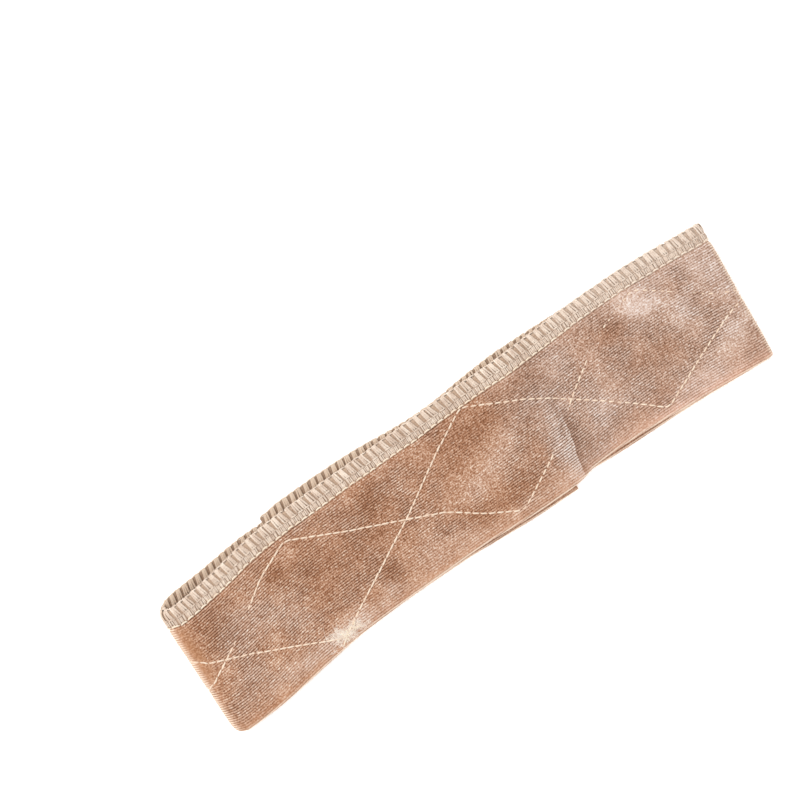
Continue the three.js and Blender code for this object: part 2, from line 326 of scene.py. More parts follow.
def seam_line(seam, along):
    """Straight between the rows, each corner rounded by a mean over nearby places."""
    near = np.linspace(-CORNER_ROUND, CORNER_ROUND, 7)
    return np.mean([np.interp(along + shift, seam["along"], seam["across"]) for shift in near],
                   axis=0)


def seam_across(seam, strip):
    """Share of the run's width where a seam lies: the table on top, a zigzag elsewhere."""
    across = seam_line(seam, strip["x"] / FOLDED_LENGTH)
    for side, centre, rim, heading in (
            (strip["stretch"] < 1.5, TIGHT_CENTRE, TIGHT_RIM, seam["tight_heading"]),
            (strip["stretch"] > 2.5, LOOSE_CENTRE, LOOSE_RIM, seam["loose_heading"])):
        at_rim = float(seam_line(seam, centre / FOLDED_LENGTH))
        phase = (at_rim - SEAM_MIDDLE) / SEAM_SWING / 2
        past = np.abs(strip["cloth"] - rim) / HALF_ZIGZAG
        wave = zigzag(phase + heading * past)
        across = np.where(side, SEAM_MIDDLE + SEAM_SWING * wave, across)
    return across


for seam in (SEAM_ONE, SEAM_TWO):
    print("seam between shares", np.round([seam_across(seam, rough).min(),
                                           seam_across(seam, rough).max()], 2))

# %% [markdown]
# ## Relief of the pile
#
# The face of the cloth isn't flat. It puffs up between the seams, is drawn in along
# them, gathers a little at each stitch and carries the fine ribs of the knit. A bump in
# the material could fake that, but the stitches have to follow it and it shows along the
# outline, so it is real. All of it is one function of a place on the cloth. Where a run
# lies on the table the relief only goes inwards, so that the band still rests on its
# flat underside.

# %% Distances to the seams, ripples and wrinkles
PUFF, PUFF_SPREAD = 0.45, 6.0
GROOVE, GROOVE_SPREAD = 0.28, 1.1
GATHER, GATHER_SPREAD, STITCH_PITCH = 0.09, 3.2, 3.4
RIB, RIB_PITCH = 0.07, 1.02
RIB_WANDER = [
    # swing, length of cloth for each radian, start
    (0.5, 19.0, 0.0),
    (0.3, 7.3, 1.0),
]
RIPPLE, RIPPLE_FULL, WAVER = 0.22, 134.2, 0.35
RIPPLE_WAVES = [
    # length, skew, start
    (61, 0.35, 0.4),
    (37, -0.22, 2.1),
    (23, 0.5, 4.0),
    (15, -0.6, 1.3),
]
WRINKLES = [
    # lead past the tail's end, lean, height, spread, share of the width where it begins
    (0.6, 0.28, 0.80, 3.0, 0.25),
    (3.3, 0.27, -0.24, 0.9, 0.30),
    (2.4, 0.36, 0.24, 0.6, 0.45),
    (0.6, 0.44, 0.22, 0.6, 0.52),
    (-1.4, 0.54, 0.20, 0.6, 0.60),
]


def seam_distances(strip, v):
    """Distance of each point to both seams, square to the seam's own slope."""
    distances = []
    for seam in (SEAM_ONE, SEAM_TWO):
        across = seam_across(seam, strip) * strip["width"]
        slope = np.gradient(across, strip["cloth"])
        distances.append((v - across[:, None]) / np.hypot(1, slope)[:, None])
    return distances


def ripple(along, v):
    """Slow waves askew to each other, the longer the higher, about 1 where all peak."""
    total = 0
    for length, skew, start in RIPPLE_WAVES:
        total = total + np.sin(2 * np.pi * (along + skew * v) / length + start) * length
    return total / RIPPLE_FULL


def wrinkles(x, v, width):
    """Slanting ridges beyond the tail's end: bell curves square to leaning lines."""
    total = 0
    for lead, lean, height, spread_out, begin in WRINKLES:
        ridge = TAIL_LENGTH + lead + lean * (width - v) + WAVER * np.sin(v / 2.9 + lead)
        share = ease(v, begin * width, (begin + 0.4) * width)
        total = total + height * share * np.exp(-((x - ridge) / spread_out) ** 2)
    return total * (1 - ease(v, width - 4 * HALF, width - HALF))


print(len(WRINKLES), "wrinkles, ripples", [wave[0] for wave in RIPPLE_WAVES], "mm long")

# %% Height of the face above the plain cloth


def relief(strip, v, face):
    """Puff between the seams, groove and gathers at them, knit ribs and slow ripples."""
    width = strip["width"][:, None]
    cloth = strip["cloth"][:, None]
    valley, groove, gather = 1, 0, 0
    for distance in seam_distances(strip, v):
        valley = valley * (1 - np.exp(-(distance / PUFF_SPREAD) ** 2))
        groove = groove + np.exp(-(distance / GROOVE_SPREAD) ** 2)
        near = np.exp(-(distance / GATHER_SPREAD) ** 2)
        gather = gather + near * np.cos(2 * np.pi * cloth / STITCH_PITCH)
    body = ease(v, OVERLOCK_WIDTH, OVERLOCK_WIDTH + 2 * PUFF_SPREAD)
    body = body * (1 - ease(v, width - 2 * PUFF_SPREAD, width - HALF))
    wander = sum(swing * np.sin(cloth / length + start) for swing, length, start in RIB_WANDER)
    rib = np.cos(2 * np.pi * (v / RIB_PITCH) + wander)
    bare = ease(v, PINCH_END, RAMP_END)
    free = np.where(face > 0, strip["on_top"][:, None], 0)
    rise = free * (PUFF * valley + RIPPLE * ripple(cloth, v)) * body
    rise = rise + free * wrinkles(strip["x"][:, None], v, width)
    sunk = GROOVE * np.clip(groove, 0, 1) + RIB * (1 - rib) - GATHER * gather * free
    return rise - bare * np.maximum(sunk, 0)


print("relief on the top run:", np.round(
    [float(f(relief(rough, np.linspace(9, 58, 99)[None, :], 1))) for f in (np.min, np.max)], 2))

# %% [markdown]
# ## From cloth to space
#
# Every piece of the band is placed by the same step: a section of the strip, a distance
# across it and a distance out of it. The cross folds lie askew and their corners are
# rounded, so the place across also shifts a point along. A Curve modifier could bend a
# flat band round the path, but thread and fuzz would then each need one too. Marks read
# from the photograph have their places in a level view of it, which starts a little way
# along the band.

# %% Placing points on the strip


def slant_shift(x, share):
    """How far a slanted cross fold moves a point along, from nothing to all over a width."""
    loose = LOOSE_SLANT * (1 - ease(x, 0, BAND_WIDTH))
    tight = TIGHT_SLANT * ease(x, FOLDED_LENGTH - BAND_WIDTH, FOLDED_LENGTH)
    return -(loose + tight) * share


def closure_top_edge():
    """The closure's upper edge, tied to the tail's overlock as in the construction."""
    middle = (TONGUE_END + OVERLAP / 2) / FOLDED_LENGTH
    tail_edge = float(read(TAIL_RUN, "edge", middle)) * BAND_WIDTH
    return -(tail_edge + OVERLOCK_WIDTH + CLOSURE_INSET)


closure_low, closure_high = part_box("hook_and_loop_closure")
ORIGIN_X = closure_low[0] / MM - (TONGUE_END + CLOSURE_MARGIN)
ORIGIN_Y = closure_high[1] / MM - closure_top_edge()


def setback(into, radius):
    """How far a corner's arc lies behind its straight edge, a way into the corner."""
    return radius * (1 - np.sqrt(1 - np.clip(into / radius, 0, 1) ** 2))


def place(strip, v, n):
    """Points in metres: along by the path and slant, across by v, out of the loop by n."""
    column = {key: strip[key][:, None] for key in strip}
    tight = column["pull"] > 0
    corner = np.where(tight, TIGHT_CORNER, LOOSE_CORNER)
    lip = np.where(tight, TIGHT_CORNER, LOOSE_LIP)
    rounding = setback(v - column["width"] + corner, corner) + setback(lip - v, lip)
    x = column["x"] + slant_shift(column["x"], v / column["width"])
    x = x - column["pull"] * rounding * CORNER_SHARE + n * column["out_x"]
    y = -column["edge"] - v
    z = column["z"] + n * column["out_z"]
    x, y, z = np.broadcast_arrays(x + ORIGIN_X, y + ORIGIN_Y, z)
    return np.stack([x, y, z], axis=-1) * MM


def sections_at(strip, cloth):
    """Sections at any lengths of cloth, between the ones that the strip has."""
    picked = {key: np.interp(cloth, strip["cloth"], strip[key]) for key in strip}
    picked["stretch"] = np.round(picked["stretch"])
    return picked


print(f"the strip's own origin lies at {ORIGIN_X:.2f}, {ORIGIN_Y:.2f} mm")

# %% Marks in the level view of the photograph
LEVEL_VIEW_START = 4.0


def level_place(strip, v):
    """Along and across in the level view of the photograph, the top run lying flat."""
    x = strip["x"][:, None] + slant_shift(strip["x"][:, None], v / strip["width"][:, None])
    return x - LEVEL_VIEW_START, strip["edge"][:, None] + v


def ovals(table, strip, v):
    """Sum of soft oval bumps over the plan of the top run, fading out past the folds."""
    x, y = level_place(strip, v)
    total = 0 * v
    for along, across, length, breadth, turn, amount in table:
        c, s = np.cos(np.radians(turn)), np.sin(np.radians(turn))
        dx, dy = x - along, y - across
        lengthwise, crosswise = (c * dx + s * dy) / length, (c * dy - s * dx) / breadth
        total = total + amount * np.exp(-(lengthwise ** 2 + crosswise ** 2))
    return total * strip["on_top"][:, None]


print("the level view starts", LEVEL_VIEW_START, "mm along the band")

# %% [markdown]
# ## Making meshes from arrays
#
# A rolled up grid of points is a closed wall once its two ends are capped: the points
# come as rows of closed outlines, and each row is joined with the next. Blender's own
# shapes could be edited into it, but arrays are quicker and say the shape as a formula.
# Each piece's points also carry numbers, such as their place on the cloth. They go in as
# attributes, which the materials read.

# %% Mesh helpers


def joined(groups):
    """Arrays of several groups joined end to end: all first ones, all second ones and so on."""
    return [np.concatenate(arrays) for arrays in zip(*groups)]


def write_numbers(mesh, numbers):
    """Writes each point's numbers as attributes; an array of three columns holds vectors."""
    for key, values in numbers.items():
        vector = values.shape[1:] == (3,)
        kind, slot = ("FLOAT_VECTOR", "vector") if vector else ("FLOAT", "value")
        mesh.attributes.new(key, kind, "POINT").data.foreach_set(
            slot, np.ascontiguousarray(values, dtype=np.float32).ravel())


def new_piece(name, points, faces, numbers):
    """One object with its place in its mesh, smooth faces, and its points' own numbers."""
    mesh = bpy.data.meshes.new(name)
    mesh.from_pydata(points.reshape(-1, 3), [], faces)
    write_numbers(mesh, numbers)
    mesh.polygons.foreach_set("use_smooth", np.ones(len(mesh.polygons), dtype=bool))
    mesh.validate()
    piece = bpy.data.objects.new(name, mesh)
    bpy.context.scene.collection.objects.link(piece)
    return piece


def wall_faces(rows, columns):
    """Quads between neighbouring closed outlines, facing out when they run clockwise."""
    i, j = np.meshgrid(np.arange(rows - 1), np.arange(columns), indexing="ij")
    a, b = i * columns + j, i * columns + (j + 1) % columns
    return np.stack([a, a + columns, b + columns, b], axis=-1).reshape(-1, 4)


print("three outlines of four points make a wall of", len(wall_faces(3, 4)), "quads")

# %% [markdown]
# ## The doubled velvet
#
# The section of the band is a narrow U lying on its side: two layers of velvet, joined
# by the lengthwise fold and open at the raw edges, where the overlock presses them
# thin. Its face needs four points to a knit rib, while the hidden sides need few. The
# U closes on itself, so the cloth keeps its real wall and its real area. A plain sheet
# with a Solidify modifier would be one layer with square edges.

# %% Outline of the doubled velvet
FACE_POINTS_PER_RIB = 4
RAW_EDGE = THREAD_WALL + CLEARANCE
OUTER_PINCH = HALF - THREAD_WALL - CLEARANCE
MIDDLE_PINCH = OUTER_PINCH - PINCHED_PLY - PLY_GAP / 2
INNER_PINCH = MIDDLE_PINCH - PLY_GAP / 2 - PINCHED_PLY


def velvet_outline(face_points, back_points):
    """Columns of the U: a fixed offset and a share of the open width, out and face."""
    parts = []

    def add(offset, share, out, face):
        """Columns of one side, all given as arrays or single values."""
        parts.append(np.broadcast_arrays(np.atleast_1d(offset), share, out, face))

    pinch = np.linspace(RAW_EDGE, PINCH_END, 8)
    add(pinch, 0.0, OUTER_PINCH, 0.0)
    add(RAMP_END, np.linspace(0, 1, face_points), HALF, 1.0)
    bend = np.radians([75, 60, 45, 30, 15, 0, -15, -30, -45, -60, -75])
    add(RAMP_END + HALF * np.cos(bend), 1.0, HALF * np.sin(bend), 0.0)
    add(RAMP_END, np.linspace(1, 0, back_points), -HALF, -1.0)
    add(pinch[::-1], 0.0, INNER_PINCH, 0.0)
    add(pinch[::3], 0.0, MIDDLE_PINCH - PLY_GAP / 2, 0.0)
    add(RAMP_END, np.linspace(0, 1, 5), -PLY_GAP / 2, 0.0)
    add(RAMP_END + PLY_GAP / 2, 1.0, 0.0, 0.0)
    add(RAMP_END, np.linspace(1, 0, 5), PLY_GAP / 2, 0.0)
    add(pinch[::-3], 0.0, MIDDLE_PINCH + PLY_GAP / 2, 0.0)
    return joined(parts)


face_points = int(FACE_POINTS_PER_RIB * (BAND_WIDTH - RAMP_END - HALF) / RIB_PITCH)
offset, share, out, face = velvet_outline(face_points, back_points=30)
print(f"{len(offset)} columns round the section, {face_points} of them on its face")

# %% The velvet's mesh
strip = lay_strip(top_step=1.5, hidden_step=5.0, fold_steps=20)
open_width = strip["width"][:, None] - HALF - RAMP_END
across = offset[None, :] + share[None, :] * open_width
rise = relief(strip, across, face[None, :]) * np.abs(face)[None, :]
heights = out[None, :] + rise * np.sign(out)[None, :]
velvet_points = place(strip, across, heights)

rows, columns = across.shape
velvet_quads = wall_faces(rows, columns).tolist()
last = (rows - 1) * columns
velvet_caps = [list(range(columns)), list(range(last + columns - 1, last - 1, -1))]

cloth_place = np.stack([np.broadcast_to(strip["cloth"][:, None], across.shape), across,
                        np.broadcast_to(out[None, :], across.shape)], axis=-1)
velvet = new_piece("velvet_cloth", velvet_points, velvet_quads + velvet_caps,
                   dict(cloth=cloth_place.reshape(-1, 3) * MM))
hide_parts("velvet_band")
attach(velvet, "root")
print(f"{rows} sections of {columns} points")

# %% [markdown]
# ## Shader sums as plain Python
#
# A material is a network of boxes, but most of what it says is arithmetic. A small class
# holds one output of the network and answers to plus, minus, times and the rest by
# adding Math nodes, so that a finish can be written as a formula.

# %% A socket that takes part in sums


class Shade:
    """One output of a material's network; sums on it add Math nodes."""

    def __init__(self, tree, socket=None):
        self.tree, self.socket = tree, socket

    def node(self, kind, settings=None, inputs=None, output=0):
        """Adds a node of a kind: its settings first, then values or links by socket."""
        made = self.tree.nodes.new(kind)
        for key, value in (settings or {}).items():
            if key == "stops":
                ramp = made.color_ramp
                for place, colour in value[2:]:
                    ramp.elements.new(place)
                for element, (place, colour) in zip(ramp.elements, sorted(value)):
                    element.position, element.color = place, (*colour, 1)
            else:
                setattr(made, key, value)
        for key, value in (inputs or {}).items():
            if isinstance(value, Shade):
                self.tree.links.new(value.socket, made.inputs[key])
            elif isinstance(value, tuple) and len(value) == 3 and made.inputs[key].type == "RGBA":
                made.inputs[key].default_value = (*value, 1)
            else:
                made.inputs[key].default_value = value
        return Shade(self.tree, made.outputs[output])

    def math(self, operation, *values):
        """One Math node on the given values."""
        return self.node("ShaderNodeMath", {"operation": operation}, dict(enumerate(values)))

    def __add__(self, other): return self.math("ADD", self, other)
    def __radd__(self, other): return self.math("ADD", other, self)
    def __sub__(self, other): return self.math("SUBTRACT", self, other)
    def __rsub__(self, other): return self.math("SUBTRACT", other, self)
    def __mul__(self, other): return self.math("MULTIPLY", self, other)
    def __rmul__(self, other): return self.math("MULTIPLY", other, self)
    def __truediv__(self, other): return self.math("DIVIDE", self, other)

    def clamp(self):
        """The value kept between 0 and 1."""
        return self.node("ShaderNodeClamp", inputs={"Value": self})

    def wave(self):
        """The cosine of the value."""
        return self.math("COSINE", self)

    def sine(self):
        """The sine of the value."""
        return self.math("SINE", self)

    def mix(self, low, high):
        """Between two colours, this value being the share of the second."""
        return self.node("ShaderNodeMix", {"data_type": "RGBA"},
                         {"Factor": self, "A": low, "B": high}, output="Result")

    def ramp(self, stops):
        """A colour read off a ramp of stops at this value."""
        return self.node("ShaderNodeValToRGB", {"stops": stops}, {"Fac": self}, output="Color")

    def attribute(self, name, output="Fac"):
        """A piece's own numbers, by their name."""
        return self.node("ShaderNodeAttribute", {"attribute_name": name}, output=output)

    def parts(self):
        """The three parts of a vector."""
        split = self.node("ShaderNodeSeparateXYZ", inputs={"Vector": self})
        return tuple(Shade(self.tree, out) for out in split.socket.node.outputs)

    def grain(self, vector, scale, detail=2.0, roughness=0.5):
        """Soft noise from 0 to 1 over a vector."""
        return self.node("ShaderNodeTexNoise", None, {
            "Vector": vector, "Scale": scale, "Detail": detail, "Roughness": roughness})

    def stretched(self, vector, scale):
        """A vector with each of its parts scaled."""
        return self.node("ShaderNodeMapping", {"vector_type": "POINT"},
                         {"Vector": vector, "Scale": scale})


print("a shade also answers to", ", ".join(name for name in vars(Shade) if name[0] != "_"))

# %% Starting a finish and joining its parts


def new_finish(name, **constants):
    """A material, its shader with the values that are the same all over, and a Shade."""
    material = bpy.data.materials.new(name)
    material.use_nodes = True
    shader = material.node_tree.nodes["Principled BSDF"]
    for key, value in constants.items():
        socket = shader.inputs[key.replace("_", " ")]
        socket.default_value = (*value, 1) if socket.type == "RGBA" else value
    return material, shader, Shade(material.node_tree)


def join(shade, shader, **links):
    """Links shades to the shader's sockets by their names."""
    for key, value in links.items():
        shade.tree.links.new(value.socket, shader.inputs[key.replace("_", " ")])


print("finishes can be started")

# %% [markdown]
# ## Which way the pile lies
#
# Velvet looks light where its pile leans towards the light and dark where it leans away.
# Handling leaves it brushed in soft patches, and their light and dark is painted into the
# colour as sheen. Noise would put them anywhere, so those of the photograph are set down
# as a table: where each lies on the top run, how long and wide it is, how it is turned,
# and how much lighter or darker its painted sheen is. Each is a soft bump, and they add
# up. Two more tables work the same way. One says where the ribs stand out clearly or are
# brushed shut, the other where the curve of the left fold shows a smooth golden strip of
# painted light.
# Beyond the tail's end a slanting crease wavers down the face, lit on its left and dark
# on its right. Towards the right end the cloth turns greyer and its edges paler.

# %% Brushed patches of the pile, painted as sheen
BRUSHED_SHEEN = [
    # along, across, length, breadth, turn, lightness of the painted sheen
    (30, 28, 14, 9, 0, 0.35),
    (43, 35, 7, 9, 0, 0.40),
    (36, 54, 18, 4, 0, 0.35),
    (56, 53, 7, 4, 0, 0.75),
    (65, 51, 5, 4, 0, 0.65),
    (12, 20, 8, 8, 0, -0.45),
    (46, 16, 5, 5, 0, -0.70),
    (67, 22, 15, 8, 0, -0.40),
    (63, 36, 9, 7, 0, -0.18),
    (79, 31, 6, 8, 0, -0.10),
    (91, 27, 4, 5, 0, -0.60),
    (95, 15, 6, 8, 0, -0.50),
    (86, 44, 4, 6, 0, -0.55),
    (82, 49, 4, 3, 0, 0.50),
    (105, 45, 5, 7, 0, 0.35),
    (118, 48, 8, 4, 0, 0.25),
    (138, 33, 12, 4.5, -14, 0.30),
    (155, 26, 13, 4.5, -22, 0.25),
    (143, 14, 17, 7, 0, -0.60),
    (145, 46, 12, 5, 0, -0.50),
    (128, 44, 8, 5, 30, -0.30),
    (165, 31, 4, 9, 0, -0.20),
    (172, 44, 3.5, 13, -14, 0.35),
    (180, 27, 4, 6, -20, 0.30),
    (184, 37, 3.5, 9, 14, -0.10),
    (176, 10, 8, 6, 0, -0.40),
    (188, 11, 6, 8, 0, 0.35),
    (194, 38, 6, 8, 20, 0.45),
    (205, 50, 12, 4, 0, -0.25),
    (216, 14, 6, 4.5, 0, -0.60),
    (225, 32, 12, 11, 0, -0.35),
    (219, 48, 6, 6, 0, -0.30),
    (232, 13, 8, 4.5, 15, 0.85),
    (240, 5, 16, 5, 0, 0.45),
    (244, 24, 6, 9, 0, 0.50),
    (262, 15, 7, 13, 0, 0.40),
    (252, 32, 5, 5, 0, -0.15),
    (257, 43, 7, 5, -35, 0.60),
    (236, 50, 13, 3.5, 0, 0.45),
    (250, 28, 35, 40, 0, 0.12),
    (259, 54, 9, 4, 0, -0.35),
    (20, 22, 12, 9, 0, 0.28),
    (15, 45, 10, 6, 0, 0.25),
    (99, 33, 6, 7, 0, -0.18),
    (133, 24, 10, 6, 0, -0.22),
    (174, 28, 9, 26, 0, 0.24),
    (208, 11, 8, 5, 0, -0.28),
    (206, 43, 12, 6, 0, 0.20),
    (234, 34, 12, 6, 0, -0.24),
    (247, 12, 8, 5, 0, -0.15),
    (130, 54, 150, 4.5, 0, 0.32),
    (39, 53, 8, 4, 0, 0.14),
    (80, 53, 10, 4, 0, 0.16),
    (184, 51, 9, 6, 0, 0.20),
    (225, 53, 13, 4, 0, 0.30),
    (3.5, 30, 3.5, 12, 0, -0.25),
    (226, 56.5, 38, 2.4, 0, 0.45),
    (267, 20, 4, 14, 0, 0.22),
    (256, 12, 8, 6, 0, 0.15),
]
print(len(BRUSHED_SHEEN), "brushed patches")

# %% Clear ribs, the golden strip of painted light and the crease
CRISP_RIBS = [
    # along, across, length, breadth, turn, how much clearer the ribs are
    (20, 26, 12, 14, 0, 0.35),
    (42, 26, 12, 14, 0, 0.35),
    (22, 47, 16, 7, 0, 0.20),
    (72, 34, 8, 8, 0, 0.30),
    (98, 16, 12, 7, 0, 0.30),
    (105, 48, 18, 7, 0, -0.25),
    (136, 32, 20, 9, -18, -0.55),
    (170, 32, 12, 16, 0, 0.45),
    (180, 40, 6, 14, 0, 0.40),
    (194, 20, 14, 12, 0, 0.35),
    (214, 30, 8, 16, 0, 0.25),
    (228, 12, 7, 5, 0, -0.30),
    (244, 20, 11, 10, 0, 0.40),
    (254, 38, 14, 12, 0, 0.30),
]
GOLDEN_FOLD_LIGHT = [
    # along, across, length, breadth, turn, how much golden light is painted on the cloth
    (1.2, 19, 3.0, 8, 0, 0.9),
    (0.6, 32, 3.0, 9, 0, 0.9),
]
CREASE_HEAD, CREASE_FOOT = np.array([180.8, 25.0]), np.array([172.8, 56.0])
LIT_SLOPE, SLOPE_REACH = 0.5, 0.25
GREY_BASE, GREY_BY_SHEEN, GREY_RIGHT = 0.08, 0.55, 0.58
GREY_FROM, GREY_TO = 150, 185
RIGHT_END_FROM, RIGHT_END_TO = 180, 230
print(len(CRISP_RIBS), "patches with other ribs,", len(GOLDEN_FOLD_LIGHT), "golden ones")

# %% Painted sheen, painted gold light and grey of each point
at, width = strip["x"][:, None], strip["width"][:, None]
# Slopes of the wrinkles get painted light and shade, lit from the left.
slope = (wrinkles(at + SLOPE_REACH, across, width)
         - wrinkles(at - SLOPE_REACH, across, width)) / (2 * SLOPE_REACH)
on_top = strip["on_top"][:, None]
outside = face[None, :] >= 0
sheen = (ovals(BRUSHED_SHEEN, strip, across) + LIT_SLOPE * slope * on_top) * outside
golden = ovals(GOLDEN_FOLD_LIGHT, strip, across) * outside
ribbed = 0.5 + ovals(CRISP_RIBS, strip, across) - golden
# Greyer with the painted sheen and towards the right end.
greyed = GREY_BASE + GREY_BY_SHEEN * sheen + GREY_RIGHT * ease(at, GREY_FROM, GREY_TO) * on_top
print("pile lightness from", round(float(sheen.min()), 2), "to", round(float(sheen.max()), 2))

# %% Crease and edges of each point
level_x, level_y = level_place(strip, across)
crease_length = float(np.hypot(*(CREASE_FOOT - CREASE_HEAD)))
down, aside = (CREASE_FOOT - CREASE_HEAD) / crease_length
along_crease = (level_x - CREASE_HEAD[0]) * down + (level_y - CREASE_HEAD[1]) * aside
crease = (level_x - CREASE_HEAD[0]) * aside - (level_y - CREASE_HEAD[1]) * down
crease = crease + 0.22 * np.sin(along_crease / 3.1) + 0.15 * np.sin(along_crease / 1.1)
creased = ease(along_crease / crease_length, 0.0, 0.5) * on_top * outside

from_fold = width - across
# Warm light painted where the folds curve round.
bend = 0.70 * (1 - ease(from_fold, 0.5, 5.0)) + 0.40 * (1 - ease(from_fold, 4.0, 15.0)) * on_top
bend = np.maximum(bend, 1.3 * np.clip(-strip["pull"], 0, 1)[:, None] ** 0.8)
# A painted highlight along the very edge of each fold.
rim = np.maximum(1 - ease(from_fold, 0.2, 1.3), ease(np.abs(strip["pull"]), 0.4, 0.9)[:, None])
pressed = 1 - ease(across, PINCH_END - 0.9, PINCH_END)
# Runs that lie under the others get painted shade.
under = 1 - on_top + 0 * across
# Share towards the right end, where cloth, thread and the fold tint turn paler.
faded = ease(at, RIGHT_END_FROM, RIGHT_END_TO) * on_top + 0 * across
pile_numbers = dict(
    sheen=sheen, golden=golden, ribbed=ribbed, greyed=greyed, bend=bend, rim=rim,
    pressed=pressed, under=under, faded=faded, crease=crease, creased=creased)
write_numbers(velvet.data, pile_numbers)
print("each point of the velvet knows its", ", ".join(pile_numbers))

# %% [markdown]
# ## Velvet
#
# Seen close, the cloth has three scales: the ribs of the knit along the band, a fine
# speckle of single fibres, and the brushed patches of painted sheen. All of them push one
# number up and down, and a ramp turns that number into colours, from the deep brown
# between the fibres, which is painted shade, over tan to the pale rose of their lit tips,
# which is a painted highlight. A second, greyer ramp is mixed in with the painted sheen
# and towards the right end. The dark lines between the ribs are painted shade in their
# grooves; they are narrow and fade in and out, as on any knit that has been handled.
# Along the lengthwise fold the cloth is thin, and the warm tint there is painted light on
# its curve, with a painted highlight as a pale rim at its very edge. Under the overlock
# it is pressed flat and pale, and darker where a run lies under the others, which is
# painted shade. Real hair all over could give the pile too, but there would be millions
# of hairs. So the finish shows the pile, and fibres are modelled only along the outline,
# with a few long ones on the face.

# %% Colours of the velvet
# Both ramps run from painted shade deep in the pile to a painted highlight on its lit tips.
PILE_STOPS = [(0.0, srgb(108, 66, 42)), (0.30, srgb(160, 109, 79)), (0.55, srgb(197, 151, 122)),
              (0.80, srgb(230, 198, 174)), (1.0, srgb(255, 235, 215))]
GREY_STOPS = [(0.0, srgb(104, 78, 64)), (0.30, srgb(164, 128, 108)), (0.55, srgb(203, 170, 151)),
              (0.80, srgb(232, 209, 196)), (1.0, srgb(250, 238, 231))]
# Golden light painted on the curve of the left fold, in a lit and a shaded tone.
GOLD_PALE, GOLD_SHADE = srgb(213, 160, 120), srgb(152, 98, 62)
# Warm light painted on the curved folds, paler towards the right end.
WARM_FOLD_LIGHT, PALE_FOLD_LIGHT = srgb(206, 152, 118), srgb(244, 188, 158)
# A painted highlight on the rim of each fold.
RIM_HIGHLIGHT = srgb(255, 232, 210)
# The pressed cloth of a run under the others is darker: painted shade.
PRESSED_CLOTH, UNDER_SHADED_CLOTH = srgb(206, 178, 154), srgb(172, 144, 122)
RIGHT_END_CLOTH = srgb(232, 212, 194)
print(len(PILE_STOPS), "stops from the depth of the pile to its tips")

# %% Ribs, dashes and speckle of the pile
DASHES_PER_MM, ROW_APART = 0.75, 7.31
velvet_finish, shader, shade = new_finish(
    "stretch_velvet", Roughness=0.9, Sheen_Weight=0.12, Sheen_Roughness=0.4,
    Sheen_Tint=srgb(255, 240, 230), Specular_IOR_Level=0.12)
cloth_vector = shade.attribute("cloth", "Vector")
length_along, length_across, _ = cloth_vector.parts()

wander = sum(swing * (length_along / (length * MM) + start).sine()
             for swing, length, start in RIB_WANDER)
drift = shade.grain(shade.stretched(cloth_vector, (0.6, 1.0, 1.0)), 210, 2.0, 0.5)
rib_phase = length_across * (2 * np.pi / (RIB_PITCH * MM)) + wander + 2.4 * (drift - 0.5)
rib = rib_phase.wave()
row = shade.math("FLOOR", rib_phase / (2 * np.pi) + 0.5)
row_vector = shade.node("ShaderNodeCombineXYZ", None, {
    "X": length_along * (DASHES_PER_MM / MM), "Y": row * ROW_APART})
dashes = shade.grain(row_vector, 1.0, 2.0, 0.6)
speckle = shade.grain(cloth_vector, 1500, 2.0, 0.6)
mottle = shade.grain(cloth_vector, 170, 4.0, 0.65)
cloud = shade.grain(cloth_vector, 42, 3.0, 0.55)
zones = shade.grain(cloth_vector, 75, 2.0, 0.5)
ribbed = (shade.attribute("ribbed") + 2.2 * (zones - 0.5)).clamp()
print("a rib every", RIB_PITCH, "mm")

# %% Painted light along the crease and painted shade between the ribs
crease = shade.attribute("crease")
beyond = (2 * crease + 0.5).clamp()
lit_side = (1 - beyond) * ((1 + crease / 7).clamp() * 0.27 + (1 + crease / 0.9).clamp() * 0.16)
dark_side = beyond * (1 - crease / 4.0).clamp() * 0.24
fold_shade = shade.attribute("creased") * (lit_side - dark_side)

# Painted shade in the grooves between the ribs, deeper near the crease.
near_crease = (1 - beyond) * (1 + crease / 9).clamp()
gap_shade_depth = 0.62 * ribbed + shade.attribute("creased") * (0.16 + 0.26 * near_crease)
rib_gap_shade = ((0 - rib - 0.15) * 1.25).clamp() * gap_shade_depth * (0.45 + 0.9 * dashes)
print("nodes so far:", len(velvet_finish.node_tree.nodes))

# %% The velvet's colour and fine bumps
# Painted sheen of the brushed patches, with the painted light and shade of the crease.
patches = shade.attribute("sheen") * (0.16 + 0.20 * mottle) + fold_shade
sheen_up = shade.attribute("sheen").clamp()
tip = (0.585 + patches - rib_gap_shade + (0.50 + 0.30 * rib) * (dashes - 0.5)
       + (1.55 - 0.3 * sheen_up) * (speckle - 0.5) + 0.34 * (mottle - 0.5)
       + 0.20 * (cloud - 0.5)).clamp()
# Greyer with the painted sheen and towards the right end.
greyed = (shade.attribute("greyed") + 0.8 * (zones - 0.5)).clamp()
pile_colour = greyed.mix(tip.ramp(PILE_STOPS), tip.ramp(GREY_STOPS))
# Golden light painted on the curve of the left fold.
golden = (shade.attribute("golden") * (0.35 + 0.8 * mottle)).clamp()
pile_colour = golden.mix(pile_colour, tip.mix(GOLD_SHADE, GOLD_PALE))
# Warm light painted on the curved folds.
fold_light_share = (shade.attribute("bend") * (0.25 + 0.6 * mottle) * 0.75).clamp()
pile_colour = fold_light_share.mix(pile_colour, shade.attribute("faded").mix(WARM_FOLD_LIGHT, PALE_FOLD_LIGHT))
# A painted highlight on the rim of each fold.
rim = (shade.attribute("rim") * (0.25 + 0.50 * rib + 0.8 * dashes)).clamp()
pile_colour = rim.mix(pile_colour, RIM_HIGHLIGHT)
